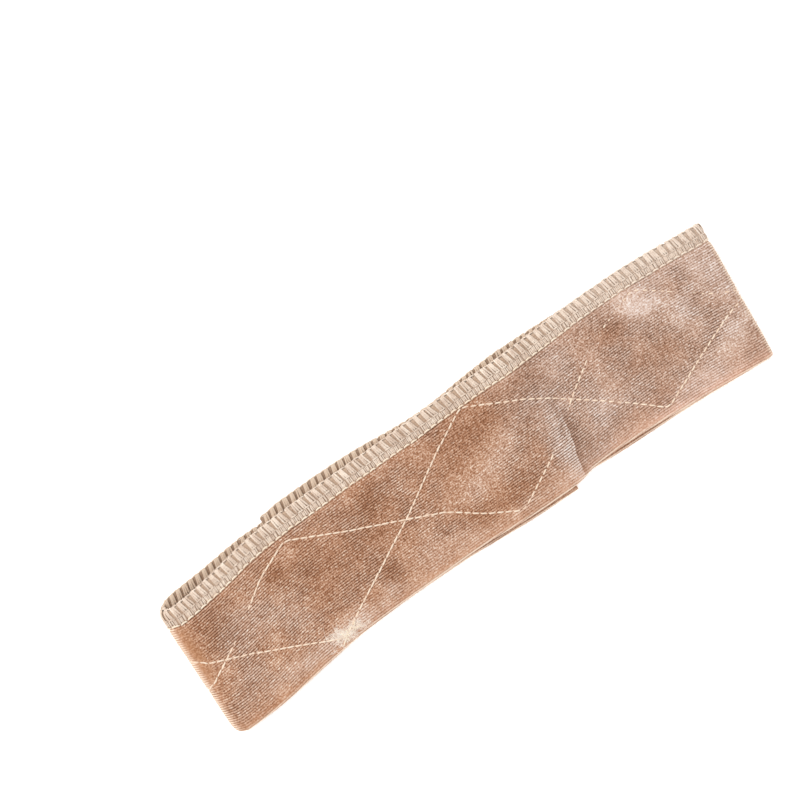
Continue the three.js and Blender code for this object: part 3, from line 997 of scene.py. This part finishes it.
# A run under the others gets painted shade on its pressed cloth.
pressed_colour = shade.attribute("under").mix(PRESSED_CLOTH, UNDER_SHADED_CLOTH)
pressed_colour = (0.7 * shade.attribute("faded")).clamp().mix(pressed_colour, RIGHT_END_CLOTH)
velvet_colour = shade.attribute("pressed").mix(pile_colour, pressed_colour)

bump = shade.node("ShaderNodeBump", None, {
    "Strength": 0.6, "Distance": 0.25 * MM, "Height": 0.7 * rib * ribbed + 0.7 * dashes + speckle},
    output="Normal")
join(shade, shader, Base_Color=velvet_colour, Normal=bump)
velvet.data.materials.append(velvet_finish)
print("velvet:", len(velvet_finish.node_tree.nodes), "nodes")

# %% [markdown]
# ## Thread
#
# A stitch is a short length of thread, and there are thousands of them, so each is only
# a few rings of three to eight points. The helper takes many paths at once, as an array
# of paths by points, with the way that is up, for each point or once for each path. The
# ring at a point lies in the plane across the path, can be flatter than it is wide, and
# shrinks at both tips. Each point also keeps how far along its thread it lies and at
# which angle round it, which the finish needs for the twist. Curves with a round bevel
# would look the same, but thousands of them would be slow to make and to draw.

# %% Many short threads in one mesh


def unit(vectors):
    """Each vector at length one."""
    return vectors / np.maximum(np.linalg.norm(vectors, axis=-1, keepdims=True), 1e-12)


def thread_piece(name, paths, ups, wide, high, sides, numbers):
    """Rings of an oval round every path, joined, with a closed tip at both ends."""
    count, points = paths.shape[:2]
    if ups.ndim < paths.ndim:
        ups = np.broadcast_to(ups[:, None, :], paths.shape)
    tangent = unit(np.gradient(paths, axis=1))
    across_way = unit(np.cross(tangent, ups))
    up_way = np.cross(across_way, tangent)
    angle = 2 * np.pi * np.arange(sides) / sides
    wide, high = np.broadcast_to(wide, (count, points)), np.broadcast_to(high, (count, points))
    rings = (paths[:, :, None, :]
             + wide[:, :, None, None] * np.cos(angle)[:, None] * across_way[:, :, None, :]
             + high[:, :, None, None] * np.sin(angle)[:, None] * up_way[:, :, None, :])
    thread, ring, side = np.meshgrid(
        np.arange(count), np.arange(points - 1), np.arange(sides), indexing="ij")
    start = (thread * points + ring) * sides
    a, b = start + side, start + (side + 1) % sides
    quads = np.stack([a, a + sides, b + sides, b], axis=-1).reshape(-1, 4)
    first = np.arange(count)[:, None] * points * sides + np.arange(sides)
    tips = np.concatenate([first, (first + (points - 1) * sides)[:, ::-1]])
    step = np.linalg.norm(np.diff(paths, axis=1), axis=-1)
    run = np.concatenate([np.zeros((count, 1)), np.cumsum(step, axis=1)], axis=1)
    twist = np.stack(np.broadcast_arrays(run[:, :, None], angle * MM, 0.0), axis=-1)
    for_points = dict(twist=twist.reshape(-1, 3))
    for key, values in numbers.items():
        for_points[key] = np.repeat(values, points * sides)
    return new_piece(name, rings, quads.tolist() + tips.tolist(), for_points)


def cloth_paths(strip, cloth, v, n, reach=0.05):
    """Points at lengths of cloth, widths and heights, and the way out of the cloth there."""
    shape = cloth.shape
    sections = sections_at(strip, cloth.ravel())
    flat_v, flat_n = v.reshape(-1, 1), n.reshape(-1, 1)
    points = place(sections, flat_v, flat_n)[:, 0, :]
    outer = place(sections, flat_v, flat_n + reach)[:, 0, :]
    return points.reshape(*shape, 3), unit(outer - points).reshape(*shape, 3)


print("threads ready")

# %% [markdown]
# ## The overlock
#
# An overlock machine trims the edge and wraps it in one go. Two needles leave two lines
# of straight stitches. Between them the looper threads lie side by side in small
# blocks. From the outer line three threads a repeat fan out over the edge and go round
# to the other face, and a chain of loops runs along the very edge. A pattern in a
# material could show them from above, but they wrap round the edge and make its outline,
# so each is modelled. One repeat is drawn once and carried along the whole strip by
# arrays, with a little seeded unevenness, because no machine lays two loops alike.

# %% Sizes of the overlock and its repeats
OVERLOCK_PITCH = 3.4
NEEDLE_INNER, NEEDLE_OUTER = 7.85, 4.95
LOOP_WIDE, LOOP_HIGH, FAN_WIDE = 0.36, 0.26, 0.43
NEEDLE_WIDE, NEEDLE_HIGH = 0.37, 0.28
BLOCK_LEADS = (-0.30, -0.10, 0.10, 0.30)
FAN = [
    # lead at the needle line, lean towards the edge, extra height
    (-0.30, 0.46, 0.02),
    (-0.02, 0.35, 0.14),
    (0.26, 0.24, 0.02),
]
EDGE_LOOP, EDGE_LINE, EDGE_WIDE, EDGE_HIGH = 3.1, 0.36, 0.34, 0.62
draws = np.random.default_rng(7)

repeats = int(STRIP_LENGTH / OVERLOCK_PITCH - 0.1)
repeat_start = OVERLOCK_PITCH * (np.arange(repeats) + 0.55)
drifting = 0.10 * np.sin(np.arange(repeats) * 0.9) + 0.08 * np.sin(np.arange(repeats) * 0.37)


def uneven(count, amount):
    """Seeded unevenness, one number for each thread."""
    return draws.normal(0, amount, count)


print(repeats, "repeats of", OVERLOCK_PITCH, "mm")

# %% Threads of each repeat


def block_threads(lead, level, side):
    """Threads between the needle lines on one face, a little bowed up in the middle."""
    t = np.linspace(0, 1, 5)[None, :]
    from_v = NEEDLE_OUTER + uneven(repeats, 0.12)[:, None]
    shift = lead + uneven(repeats, 0.035)
    lean = uneven(repeats, 0.05)[:, None]
    cloth = (repeat_start + shift * OVERLOCK_PITCH)[:, None] + lean * OVERLOCK_PITCH * t
    v = from_v + (NEEDLE_INNER + drifting[:, None] - from_v) * t
    lift = level + 0.12 * np.sin(np.pi * t) + uneven(repeats, 0.05)[:, None]
    return cloth, v + 0 * cloth, (side * lift) + 0 * cloth


OUTER_FACE, INNER_FACE = OUTER_PINCH + LOOP_HIGH, -INNER_PINCH + LOOP_HIGH


def wrapping_threads(lead, lean, lift):
    """Threads from the outer needle line over the edge and back on the inner face."""
    base = (repeat_start + (lead + uneven(repeats, 0.035)) * OVERLOCK_PITCH)[:, None]
    flat_v = np.array([NEEDLE_OUTER + 0.3, 3.8, 2.5, 1.4])
    bend = np.radians([70, 35, 0, -35, -70])
    middle = (OUTER_FACE - INNER_FACE) / 2
    reach = (OUTER_FACE + INNER_FACE) / 2
    out_v = np.concatenate([flat_v, 0.75 - 0.45 * np.cos(bend), flat_v[::-1]])
    out_n = np.concatenate([OUTER_FACE + np.array([0.0, 0.2, 0.26, 0.16]) + lift,
                            middle + reach * np.sin(bend),
                            -INNER_FACE - np.array([0.16, 0.26, 0.2, 0.0]) - lift])
    swing = np.clip((NEEDLE_OUTER - out_v) / NEEDLE_OUTER, 0, 1) ** 0.8
    cloth = base + OVERLOCK_PITCH * swing * (lean + together)[:, None]
    v = out_v[None, :] + uneven(repeats, 0.07)[:, None]
    return cloth, v, out_n[None, :] + 0 * v


def edge_loops():
    """One loop of the chain in each repeat, bulging out over the very edge."""
    t = np.linspace(-1, 1, 9)[None, :]
    cloth = (repeat_start + uneven(repeats, 0.10))[:, None] + EDGE_LOOP / 2 * t
    v = EDGE_LINE + 0.38 * t ** 2 + uneven(repeats, 0.06)[:, None]
    return cloth, v + 0 * cloth, (OUTER_FACE - INNER_FACE) / 2 + 0 * cloth


def needle_threads(line, level, side, length, droop, points):
    """Straight stitches along the edge that dive into the cloth at both ends."""
    t = np.linspace(-1, 1, points)[None, :]
    cloth = (repeat_start + uneven(repeats, 0.08))[:, None] + length / 2 * t
    v = line + drifting[:, None] + droop * t ** 2 + uneven(repeats, 0.07)[:, None]
    lift = level + 0.14 - 0.34 * np.abs(t) ** 4
    return cloth, v + 0 * cloth, side * lift + 0 * cloth


print(f"threads lie {OUTER_FACE:.2f} mm out and {INNER_FACE:.2f} mm in from the middle")

# %% All threads of the overlock
together = uneven(repeats, 0.06)
wraps = [wrapping_threads(*row) for row in FAN]
blocks, needles = [], []
for side, level in ((1, OUTER_FACE), (-1, INNER_FACE)):
    for lead in BLOCK_LEADS:
        blocks.append(block_threads(lead, level, side))
    blocks.append(block_threads(0.5, level - 0.16, side))
    blocks.append(needle_threads(NEEDLE_OUTER, level + 0.14, side,
                                 length=2.9, droop=-0.10, points=5))
    needles.append(needle_threads(NEEDLE_INNER + 0.05, level + 0.26, side,
                                  length=2.95, droop=0.34, points=7))
print(len(wraps + blocks + needles) + 1, "threads in each repeat")

# %% The overlock's meshes
edge_strip = lay_strip(top_step=1.0, hidden_step=2.0, fold_steps=24)


def overlock_piece(name, groups, wide, high, sides):
    """One mesh of several groups of threads that have as many points each."""
    cloth, v, n = joined(groups)
    cloth = np.clip(cloth, 0.1, STRIP_LENGTH - 0.1)
    paths, ups = cloth_paths(edge_strip, cloth, v, n)
    paths[..., 2] = np.maximum(paths[..., 2], high * MM)
    tip = np.ones(cloth.shape[1])
    tip[0] = tip[-1] = 0.55
    middle = sections_at(edge_strip, cloth[:, cloth.shape[1] // 2])
    piece = thread_piece(name, paths, ups, wide * tip * MM, high * tip * MM, sides, dict(
        under=1 - middle["on_top"], faded=ease(middle["x"], RIGHT_END_FROM, RIGHT_END_TO) * middle["on_top"],
        tone=draws.uniform(0, 1, len(cloth))))
    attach(piece, "root")
    return piece


overlock_wraps = overlock_piece("overlock_wraps", wraps, FAN_WIDE, LOOP_HIGH, sides=8)
overlock_blocks = overlock_piece("overlock_blocks", blocks, LOOP_WIDE, LOOP_HIGH, sides=5)
needle_lines = overlock_piece("needle_lines", needles, NEEDLE_WIDE, NEEDLE_HIGH, sides=6)
edge_chain = overlock_piece("edge_chain", [edge_loops()], EDGE_WIDE, EDGE_HIGH, sides=8)
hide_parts("overlock_edge")
for piece in (overlock_wraps, overlock_blocks, needle_lines, edge_chain):
    print(piece.name, len(piece.data.polygons), "faces")

# %% [markdown]
# ## The quilting stitches
#
# A lockstitch shows as a row of short dashes, each standing a little proud in the
# middle and diving into the cloth at its ends. The rows follow the two seams. Each dash
# sits on the relief of the pile, so it dips where the seam's groove does. In places the
# pile closes over a seam, which hardly shows there. A table says where, and how deep the
# stitches lie. Dashes could be painted on, but modelled ones catch the light on one side
# and sink into the pile by themselves.

# %% Rows of dashes along both seams
LONG_DASH, SHORT_DASH, DASH_WIDE, DASH_HIGH = 3.25, 2.75, 0.37, 0.24
DASH_PROUD, DASH_BOW, DASH_DIVE, DASH_LEAN = 0.27, 0.12, 0.24, 0.10
SUNK, SUNK_SWING, BURY_DEPTH = 0.16, 0.12, 0.62
SHORTER_FROM, SHORTER_TO, SEAM_MARGIN = 110, 160, 2.0
BURIED = [
    # along, across, length, breadth, turn, how deep the stitches lie in the pile
    (23, 25, 12, 11, 0, 0.72),
    (180, 32, 5, 4.5, 0, 1.1),
    (173.5, 38, 6, 6, 0, 1.1),
    (206, 17, 14, 8, 0, 0.7),
    (226, 8, 16, 7, 0, 0.75),
    (202, 38, 14, 8, 0, 0.2),
    (258, 19, 16, 9, 0, 0.9),
    (267, 34, 8, 7, 0, 0.7),
    (150, 52, 8, 4, 0, 0.3),
]


def seam_dashes(seam, side):
    """Dashes at equal steps along a seam, as paths on one face of the cloth."""
    lines = lay_strip(top_step=0.5, hidden_step=0.5, fold_steps=24)
    lines_v = seam_across(seam, lines) * lines["width"]
    run = np.concatenate([[0], np.cumsum(np.hypot(np.diff(lines["cloth"]), np.diff(lines_v)))])
    middles = np.arange(SEAM_MARGIN, run[-1] - SEAM_MARGIN, STITCH_PITCH)
    t = np.linspace(-1, 1, 7)[None, :]
    place_x = np.interp(middles, run, lines["x"])
    dash = LONG_DASH + (SHORT_DASH - LONG_DASH) * ease(place_x, SHORTER_FROM, SHORTER_TO)
    at = middles[:, None] + dash[:, None] / 2 * t
    cloth = np.interp(at, run, lines["cloth"])
    v = np.interp(at, run, lines_v)
    v = v + DASH_LEAN * t + draws.normal(0, 0.04, len(middles))[:, None]
    sections = sections_at(lines, cloth.ravel())
    lift = relief(sections, v.reshape(-1, 1), side).reshape(v.shape)
    buried = ovals(BURIED, sections, v.reshape(-1, 1)).reshape(v.shape)
    sunk = SUNK + SUNK_SWING * np.sin(middles / 13 + 2) * np.sin(middles / 5.1)
    sunk = sunk + draws.normal(0, 0.05, len(middles))
    level = HALF + lift + DASH_PROUD - sunk[:, None] - BURY_DEPTH * buried
    level = level + DASH_BOW * (1 - t ** 2) - DASH_DIVE * np.abs(t) ** 6
    lying = (sections["on_top"].reshape(v.shape) < 0.5) & (side > 0)
    level = np.where(lying, np.minimum(level, HALF - DASH_HIGH - 0.01), level)
    return cloth, v, side * level


print("a stitch every", STITCH_PITCH, "mm")

# %% The quilting's mesh
cloth, v, n = joined([
    seam_dashes(seam, side) for side in (1, -1) for seam in (SEAM_ONE, SEAM_TWO)])
paths, ups = cloth_paths(edge_strip, cloth, v, n)
taper = np.array([0.6, 0.9, 1, 1, 1, 0.9, 0.6])
quilting = thread_piece("quilting_stitches", paths, ups, DASH_WIDE * taper * MM,
                        DASH_HIGH * taper * MM, 6, dict(tone=draws.uniform(0, 1, len(paths))))
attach(quilting, "root")
print(len(paths), "dashes,", len(quilting.data.polygons), "faces")

# %% [markdown]
# ## The look of thread
#
# Thread is two plies wound round each other, so it is a little lighter and darker in
# slanting stripes, painted light and shade of the plies along with a bump, and single
# fibres stand out of it. Each stitch has a tone of its own, which keeps a row of them from
# looking printed. Where the run lies under the others the thread is darker, which is
# painted shade, and towards the right end it is paler and rougher, as the cloth is.
# Quilting and needle thread get a faint painted glow. Modelled plies would take many
# times the faces for stripes that are this small.

# %% Thread finishes
THREAD_PALE, THREAD_SHADE = srgb(255, 238, 220), srgb(200, 170, 148)
NEEDLE_PALE, NEEDLE_SHADE = srgb(255, 242, 220), srgb(244, 218, 190)
UNDER_SHADED_THREAD, RIGHT_END_THREAD = srgb(216, 192, 168), srgb(248, 230, 214)
QUILT_PALE, QUILT_SHADE = srgb(255, 238, 216), srgb(232, 198, 170)


def thread_finish(name, pale, shaded, twist_pitch, glow):
    """Thread with winding plies: a wave of the length and the angle, and loose fibres."""
    finish, shader, shade = new_finish(
        name, Roughness=0.78, Sheen_Weight=0.2, Sheen_Roughness=0.5, Specular_IOR_Level=0.2,
        Emission_Color=pale, Emission_Strength=glow)
    run, angle, _ = shade.attribute("twist", "Vector").parts()
    # The ply's wave is painted light and shade of the winding plies.
    ply = (run * (2 * np.pi / (twist_pitch * MM)) + angle * (1 / MM)).wave()
    position = shade.node("ShaderNodeTexCoord", output="Object")
    fibre = shade.grain(position, 2600, 2.0, 0.6)
    strand = shade.grain(position, 620, 2.0, 0.5)
    drift = shade.grain(position, 120, 2.0, 0.5)
    faded = shade.attribute("faded")
    lightness = (0.36 + 0.42 * shade.attribute("tone") + 0.08 * ply
                 + (0.8 + 1.4 * faded) * (fibre - 0.5) + (0.9 + 1.2 * faded) * (strand - 0.5)
                 + 0.6 * (drift - 0.5)).clamp()
    bump = shade.node("ShaderNodeBump", None, {
        "Strength": 0.5, "Distance": 0.12 * MM, "Height": 0.6 * ply + fibre + strand},
        output="Normal")
    # Thread of a run under the others gets painted shade.
    colour = (0.75 * shade.attribute("under")).clamp().mix(
        lightness.mix(shaded, pale), UNDER_SHADED_THREAD)
    colour = (0.6 * faded).clamp().mix(colour, RIGHT_END_THREAD)
    join(shade, shader, Base_Color=colour, Normal=bump)
    return finish


overlock_finish = thread_finish(
    "overlock_thread", THREAD_PALE, THREAD_SHADE, twist_pitch=0.9, glow=0.0)
# Quilting and needle thread get a faint painted glow.
quilting_finish = thread_finish(
    "quilting_thread", QUILT_PALE, QUILT_SHADE, twist_pitch=0.6, glow=0.08)
needle_finish = thread_finish(
    "needle_thread", NEEDLE_PALE, NEEDLE_SHADE, twist_pitch=0.9, glow=0.05)
for piece, finish in ((overlock_wraps, overlock_finish), (overlock_blocks, overlock_finish),
                      (needle_lines, needle_finish), (edge_chain, overlock_finish),
                      (quilting, quilting_finish)):
    piece.data.materials.append(finish)
print("thread finishes on", overlock_wraps.name, "and", quilting.name)

# %% [markdown]
# ## Loose fibres
#
# No velvet has a hard outline. Its pile stands out along the folds, a few longer hairs
# lie over its face, and where the seams turn at the lower edge there is a tuft of lint
# with cut ends of thread. Each fibre is a path of three points, or five where it curls
# in the lint, with a thin ring at each. They are scattered by seeded draws over places
# on the strip, so they follow the cloth. Blender's hair could do the same, but it isn't
# a mesh, so it wouldn't travel with the part.

# %% Fibres that stand or lie on the cloth
fibre_draws = np.random.default_rng(11)


def ways_at(strip, cloth, v, n, reach=0.05):
    """Places on the strip with the ways along, across and out of the cloth there."""
    def at(c, a, o):
        """Points at lengths of cloth, distances across and distances out."""
        return place(sections_at(strip, c), a[:, None], o[:, None])[:, 0, :]

    root = at(cloth, v, n)
    along = unit(at(cloth + reach, v, n) - at(cloth - reach, v, n))
    across = unit(at(cloth, v + reach, n) - at(cloth, v - reach, n))
    out = unit(at(cloth, v, n + reach) - root)
    return root, along, across, out


def fibre_paths(root, way, bow, length, points=3):
    """root + way·length·t + bow·length·t², for t from 0 to 1."""
    t = np.linspace(0, 1, points)[None, :, None]
    reach = (length * MM)[:, None, None]
    return root[:, None, :] + reach * (t * way[:, None, :] + t ** 2 * bow[:, None, :])


def fibre_piece(name, paths, ups, wide):
    """One mesh of many fibres that thin out towards their tips."""
    taper = np.linspace(1.0, 0.35, paths.shape[1])
    paths[..., 2] = np.maximum(paths[..., 2], 2 * wide * MM)
    piece = thread_piece(name, paths, ups, wide * taper * MM, wide * taper * MM, 3,
                         dict(tone=fibre_draws.uniform(0, 1, len(paths))))
    piece.data.polygons.foreach_set("use_smooth", np.zeros(len(piece.data.polygons), dtype=bool))
    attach(piece, "root")
    print(name, len(paths), "fibres")
    return piece


def lengths(least, usual, most, count):
    """Seeded lengths: many near the usual one, a few longer, none past the most."""
    return np.minimum(least + fibre_draws.gamma(2.0, (usual - least) / 2, count), most)


def top_cloth(x):
    """The length of cloth that lies at each place along the top run."""
    top = edge_strip["stretch"] == 2
    return np.interp(-x, -edge_strip["x"][top], edge_strip["cloth"][top])


def face_lift(cloth, v):
    """How far the face stands above the plain cloth at places on the strip."""
    return relief(sections_at(edge_strip, cloth), v[:, None], 1)[:, 0]


def scatter(count, size=1.0):
    """Seeded directions, each part drawn from a bell curve."""
    return fibre_draws.normal(0, size, (count, 3))


print(f"{top_cloth(10.0) - top_cloth(FOLDED_LENGTH - 10):.0f} mm of cloth show on the top run")

# %% Fuzz along the folds
FOLD_FUZZ, CROSS_FUZZ, END_FUZZ = 5600, 3200, 300
cloth_at = fibre_draws.uniform(2, STRIP_LENGTH - 2, FOLD_FUZZ)
bend_at = np.radians(fibre_draws.uniform(-75, 75, FOLD_FUZZ))
sections = sections_at(edge_strip, cloth_at)
v = sections["width"] - HALF + (HALF - 0.1) * np.cos(bend_at)
root, along, across_way, out_way = ways_at(edge_strip, cloth_at, v, (HALF - 0.1) * np.sin(bend_at))
out_from_bend = np.cos(bend_at)[:, None] * across_way + np.sin(bend_at)[:, None] * out_way
groups = [(root, out_from_bend)]

fold_sections = [edge_strip["cloth"][edge_strip["stretch"] == fold] for fold in (1, 3)]
for ends in fold_sections:
    cloth_at = fibre_draws.uniform(ends[0], ends[-1], CROSS_FUZZ // 2)
    width = sections_at(edge_strip, cloth_at)["width"]
    v = fibre_draws.uniform(RAMP_END / BAND_WIDTH, 0.97, CROSS_FUZZ // 2) * width
    root, along, across_way, out_way = ways_at(edge_strip, cloth_at, v, 0 * v + HALF - 0.1)
    groups.append((root, out_way))
for end, heading in ((0.1, -1), (STRIP_LENGTH - 0.1, 1)):
    cloth_at = np.full(END_FUZZ, end)
    v = fibre_draws.uniform(0.3, BAND_WIDTH - HALF, END_FUZZ)
    n = fibre_draws.uniform(-HALF, HALF, END_FUZZ) * 0.8
    root, along, across_way, out_way = ways_at(edge_strip, cloth_at, v, n)
    groups.append((root, heading * along))
root, way = joined(groups)
count = len(root)
paths = fibre_paths(root, unit(way + scatter(count, 0.35)), scatter(count, 0.3),
                    lengths(least=0.35, usual=0.79, most=1.7, count=count))
fold_fuzz = fibre_piece("fold_fuzz", paths, way, wide=0.028)

# %% Hairs lying on the face
NAP = 7000
on_top = np.array([TIGHT_RIM + 1, LOOSE_RIM - 1])
cloth_at = fibre_draws.uniform(*on_top, NAP)
sections = sections_at(edge_strip, cloth_at)
v = RAMP_END + fibre_draws.uniform(0, 1, NAP) * (sections["width"] - RAMP_END - 2 * HALF)
lift = face_lift(cloth_at, v)
root, along, across_way, out_way = ways_at(edge_strip, cloth_at, v, HALF + lift - 0.05)
heading = fibre_draws.choice([-1, 1], NAP, p=[0.7, 0.3])[:, None]
way = unit(heading * along + 0.7 * scatter(NAP) * (1, 1, 0.2) + 0.2 * out_way)
paths = fibre_paths(root, way, -0.12 * out_way, lengths(least=0.4, usual=0.9, most=1.8, count=NAP))
nap = fibre_piece("nap_hairs", paths, out_way, wide=0.05)

# %% Fuzz over the overlock
EVEN_FUZZ, RIGHT_END_FUZZ = 5000, 2200
THREAD_FUZZ = EVEN_FUZZ + RIGHT_END_FUZZ
right_end_x = fibre_draws.triangular(RIGHT_END_FROM, FOLDED_LENGTH - 2, FOLDED_LENGTH, RIGHT_END_FUZZ)
cloth_at = np.concatenate([fibre_draws.uniform(1, STRIP_LENGTH - 1, EVEN_FUZZ),
                           top_cloth(right_end_x)])
v = fibre_draws.uniform(0.3, NEEDLE_INNER + 0.8, THREAD_FUZZ)
root, along, across_way, out_way = ways_at(edge_strip, cloth_at, v,
                                           0 * v + OUTER_FACE + LOOP_HIGH + 0.1)
way = unit(scatter(THREAD_FUZZ) * 0.8 + 0.25 * out_way)
paths = fibre_paths(root, way, 0.5 * scatter(THREAD_FUZZ) - 0.4 * out_way,
                    lengths(least=0.5, usual=0.9, most=1.6, count=THREAD_FUZZ))
thread_fuzz = fibre_piece("overlock_fuzz", paths, out_way, wide=0.035)

# %% Lint where the seams turn
LINT_AT, LINT_ACROSS = TAIL_LENGTH * 0.355, BAND_WIDTH * 0.93
TUFTS, PER_TUFT = 46, 18
LINT = TUFTS * PER_TUFT
lint_x = (np.repeat(LINT_AT + fibre_draws.normal(0, 5.0, TUFTS), PER_TUFT)
          + fibre_draws.normal(0, 0.6, LINT))
lint_cloth = top_cloth(lint_x)
v = (np.repeat(LINT_ACROSS + fibre_draws.normal(0, 1.8, TUFTS), PER_TUFT)
     + fibre_draws.normal(0, 0.5, LINT))
v = np.minimum(v, BAND_WIDTH - HALF)
lift = face_lift(lint_cloth, v)
root, along, across_way, out_way = ways_at(edge_strip, lint_cloth, v, HALF + lift)
way = unit(scatter(LINT) * (1, 1, 0.2) + 0.15 * out_way)
paths = fibre_paths(root, way, 0.8 * scatter(LINT) * (1, 1, 0.2) - 0.2 * out_way,
                    lengths(least=0.8, usual=1.7, most=2.6, count=LINT), points=5)
lint = fibre_piece("lint_tuft", paths, out_way, wide=0.09)

# %% Cut ends of thread
THREAD_ENDS = [
    # along, across, away along, away across, length: where each end leaves the seam
    (58.7, 55.0, 0.45, 0.9, 4.8),
    (59.7, 57.0, -0.75, 0.7, 3.4),
    (65.9, 54.0, -0.55, 0.8, 3.4),
    (64.2, 56.6, 1.0, 0.05, 3.6),
    (61.0, 54.5, 0.1, 1.0, 3.0),
]
END_WIDE, END_HIGH, END_LIFT = 0.25, 0.22, 0.35
ends = np.array(THREAD_ENDS)
cloth_at = top_cloth(ends[:, 0])
root, along, across_way, out_way = ways_at(edge_strip, cloth_at, ends[:, 1],
                                           0 * cloth_at + HALF + END_LIFT)
way = unit(-along * ends[:, 2:3] + across_way * ends[:, 3:4])
paths = fibre_paths(root, way, 0.25 * along - 0.12 * out_way, ends[:, 4], points=9)
thread_ends = thread_piece("thread_ends", paths, out_way, END_WIDE * MM, END_HIGH * MM, 6,
                           dict(tone=np.ones(len(paths))))
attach(thread_ends, "root")
print(len(THREAD_ENDS), "cut ends")

# %% [markdown]
# ## The look of fibres
#
# Fibres of the pile are finished as thread is, in the colours of its lit tips. Lint is
# loose and lets light through, so it is paler, and a faint painted glow stands in for
# that light. Fuzz over the overlock and cut ends of thread keep the finish of the thread
# that they come from.

# %% Fibre finishes
FIBRE_PALE, FIBRE_SHADE = srgb(246, 226, 208), srgb(206, 172, 148)
LINT_PALE, LINT_SHADE = srgb(255, 250, 240), srgb(226, 204, 186)
fibre_finish = thread_finish("pile_fibre", FIBRE_PALE, FIBRE_SHADE, twist_pitch=3.0, glow=0.0)
# Lint gets a faint painted glow.
lint_finish = thread_finish("lint", LINT_PALE, LINT_SHADE, twist_pitch=3.0, glow=0.16)
for piece, finish in ((fold_fuzz, fibre_finish), (nap, fibre_finish), (lint, lint_finish),
                      (thread_fuzz, overlock_finish), (thread_ends, needle_finish)):
    piece.data.materials.append(finish)
print("fibres have", fibre_finish.name, "and", lint_finish.name)

# %% [markdown]
# ## The closure's tapes
#
# Between tail and tongue lie two tapes, one with hooks and one with loops. Hardly any
# of them shows, so the construction's own solid stays and only gets its finish: a tape
# is woven in fine cross ribs, with a nap of caught loops over it.

# %% Closure finish
TAPE_PALE, TAPE_SHADE = srgb(206, 172, 144), srgb(160, 122, 94)
tape_finish, tape_shader, shade = new_finish(
    "woven_tape", Roughness=0.85, Sheen_Weight=0.2, Sheen_Roughness=0.5)
position = shade.node("ShaderNodeTexCoord", output="Object")
tape_x, tape_y, tape_z = position.parts()
weave = (tape_x * (2 * np.pi / (0.8 * MM))).wave() * (tape_y * (2 * np.pi / (0.6 * MM))).wave()
loops = shade.grain(position, 900, 3.0, 0.7)
parting = (tape_z * (2 * np.pi / (CLOSURE_DEPTH * MM))).wave()
lightness = (0.5 + 0.12 * weave + 0.9 * (loops - 0.5) + 0.1 * parting).clamp()
tape_bump = shade.node("ShaderNodeBump", None, {
    "Strength": 0.6, "Distance": 0.3 * MM, "Height": weave + 2 * loops}, output="Normal")
join(shade, tape_shader, Base_Color=lightness.mix(TAPE_SHADE, TAPE_PALE), Normal=tape_bump)
closure = bpy.data.objects["hook_and_loop_closure"]
closure.data.materials.clear()
closure.data.materials.append(tape_finish)
print("closure has", tape_finish.name)

# %% [markdown]
# ## What the band was cut from
#
# The velvet is one sheet: as wide as the band's two layers, and as long as the path
# round both cross folds. Its flat size is printed.

# %% The sheet
print(f"flat: {2 * BAND_WIDTH:.0f} by {STRIP_LENGTH:.0f} mm")

# %% [markdown]
# ## Floor and light
#
# The photograph has a plain white ground and soft light without hard shadows. A large
# pale floor takes the band's faint shadow. One broad lamp above the far left gives the
# pile its direction, a weaker one above the near right opens the shadows, and an even
# white world at two thirds of full strength fills the rest. A picture of a room could
# light it too, but two lamps are easier to aim.

# %% Floor, lamp and world
FLOOR_SIZE = 6.0
floor_mesh = bpy.data.meshes.new("floor")
corner = FLOOR_SIZE / 2
floor_mesh.from_pydata([(-corner, -corner, 0), (corner, -corner, 0),
                        (corner, corner, 0), (-corner, corner, 0)], [], [(0, 1, 2, 3)])
floor = bpy.data.objects.new("floor", floor_mesh)
bpy.context.scene.collection.objects.link(floor)
floor_material = bpy.data.materials.new("pale_floor")
floor_material.use_nodes = True
floor_shader = floor_material.node_tree.nodes["Principled BSDF"]
floor_shader.inputs["Base Color"].default_value = (*srgb(250, 249, 248), 1)
floor_shader.inputs["Roughness"].default_value = 0.9
floor_shader.inputs["Emission Color"].default_value = (1, 1, 1, 1)
floor_shader.inputs["Emission Strength"].default_value = 0.5
floor.data.materials.append(floor_material)


def soft_lamp(name, place, aim, size, power):
    """A square lamp at a place, turned so that its face looks at its aim."""
    data = bpy.data.lights.new(name, "AREA")
    data.size, data.energy = size, power
    lamp = bpy.data.objects.new(name, data)
    lamp.location = place
    way = np.array(aim) - np.array(place)
    lamp.rotation_euler = mathutils.Vector(way).to_track_quat("-Z", "Y").to_euler()
    bpy.context.scene.collection.objects.link(lamp)
    return lamp


key_lamp = soft_lamp("key_lamp", (-0.9, 0.9, 1.3), (0, 0, 0), size=1.2, power=16)
fill_lamp = soft_lamp("fill_lamp", (1.2, -0.8, 1.5), (0, 0, 0), size=1.6, power=7)

world = bpy.data.worlds.new("soft_room")
world.use_nodes = True
world.node_tree.nodes["Background"].inputs["Color"].default_value = (1, 1, 1, 1)
world.node_tree.nodes["Background"].inputs["Strength"].default_value = 0.66
bpy.context.scene.world = world
print("lamps:", key_lamp.name, fill_lamp.name)
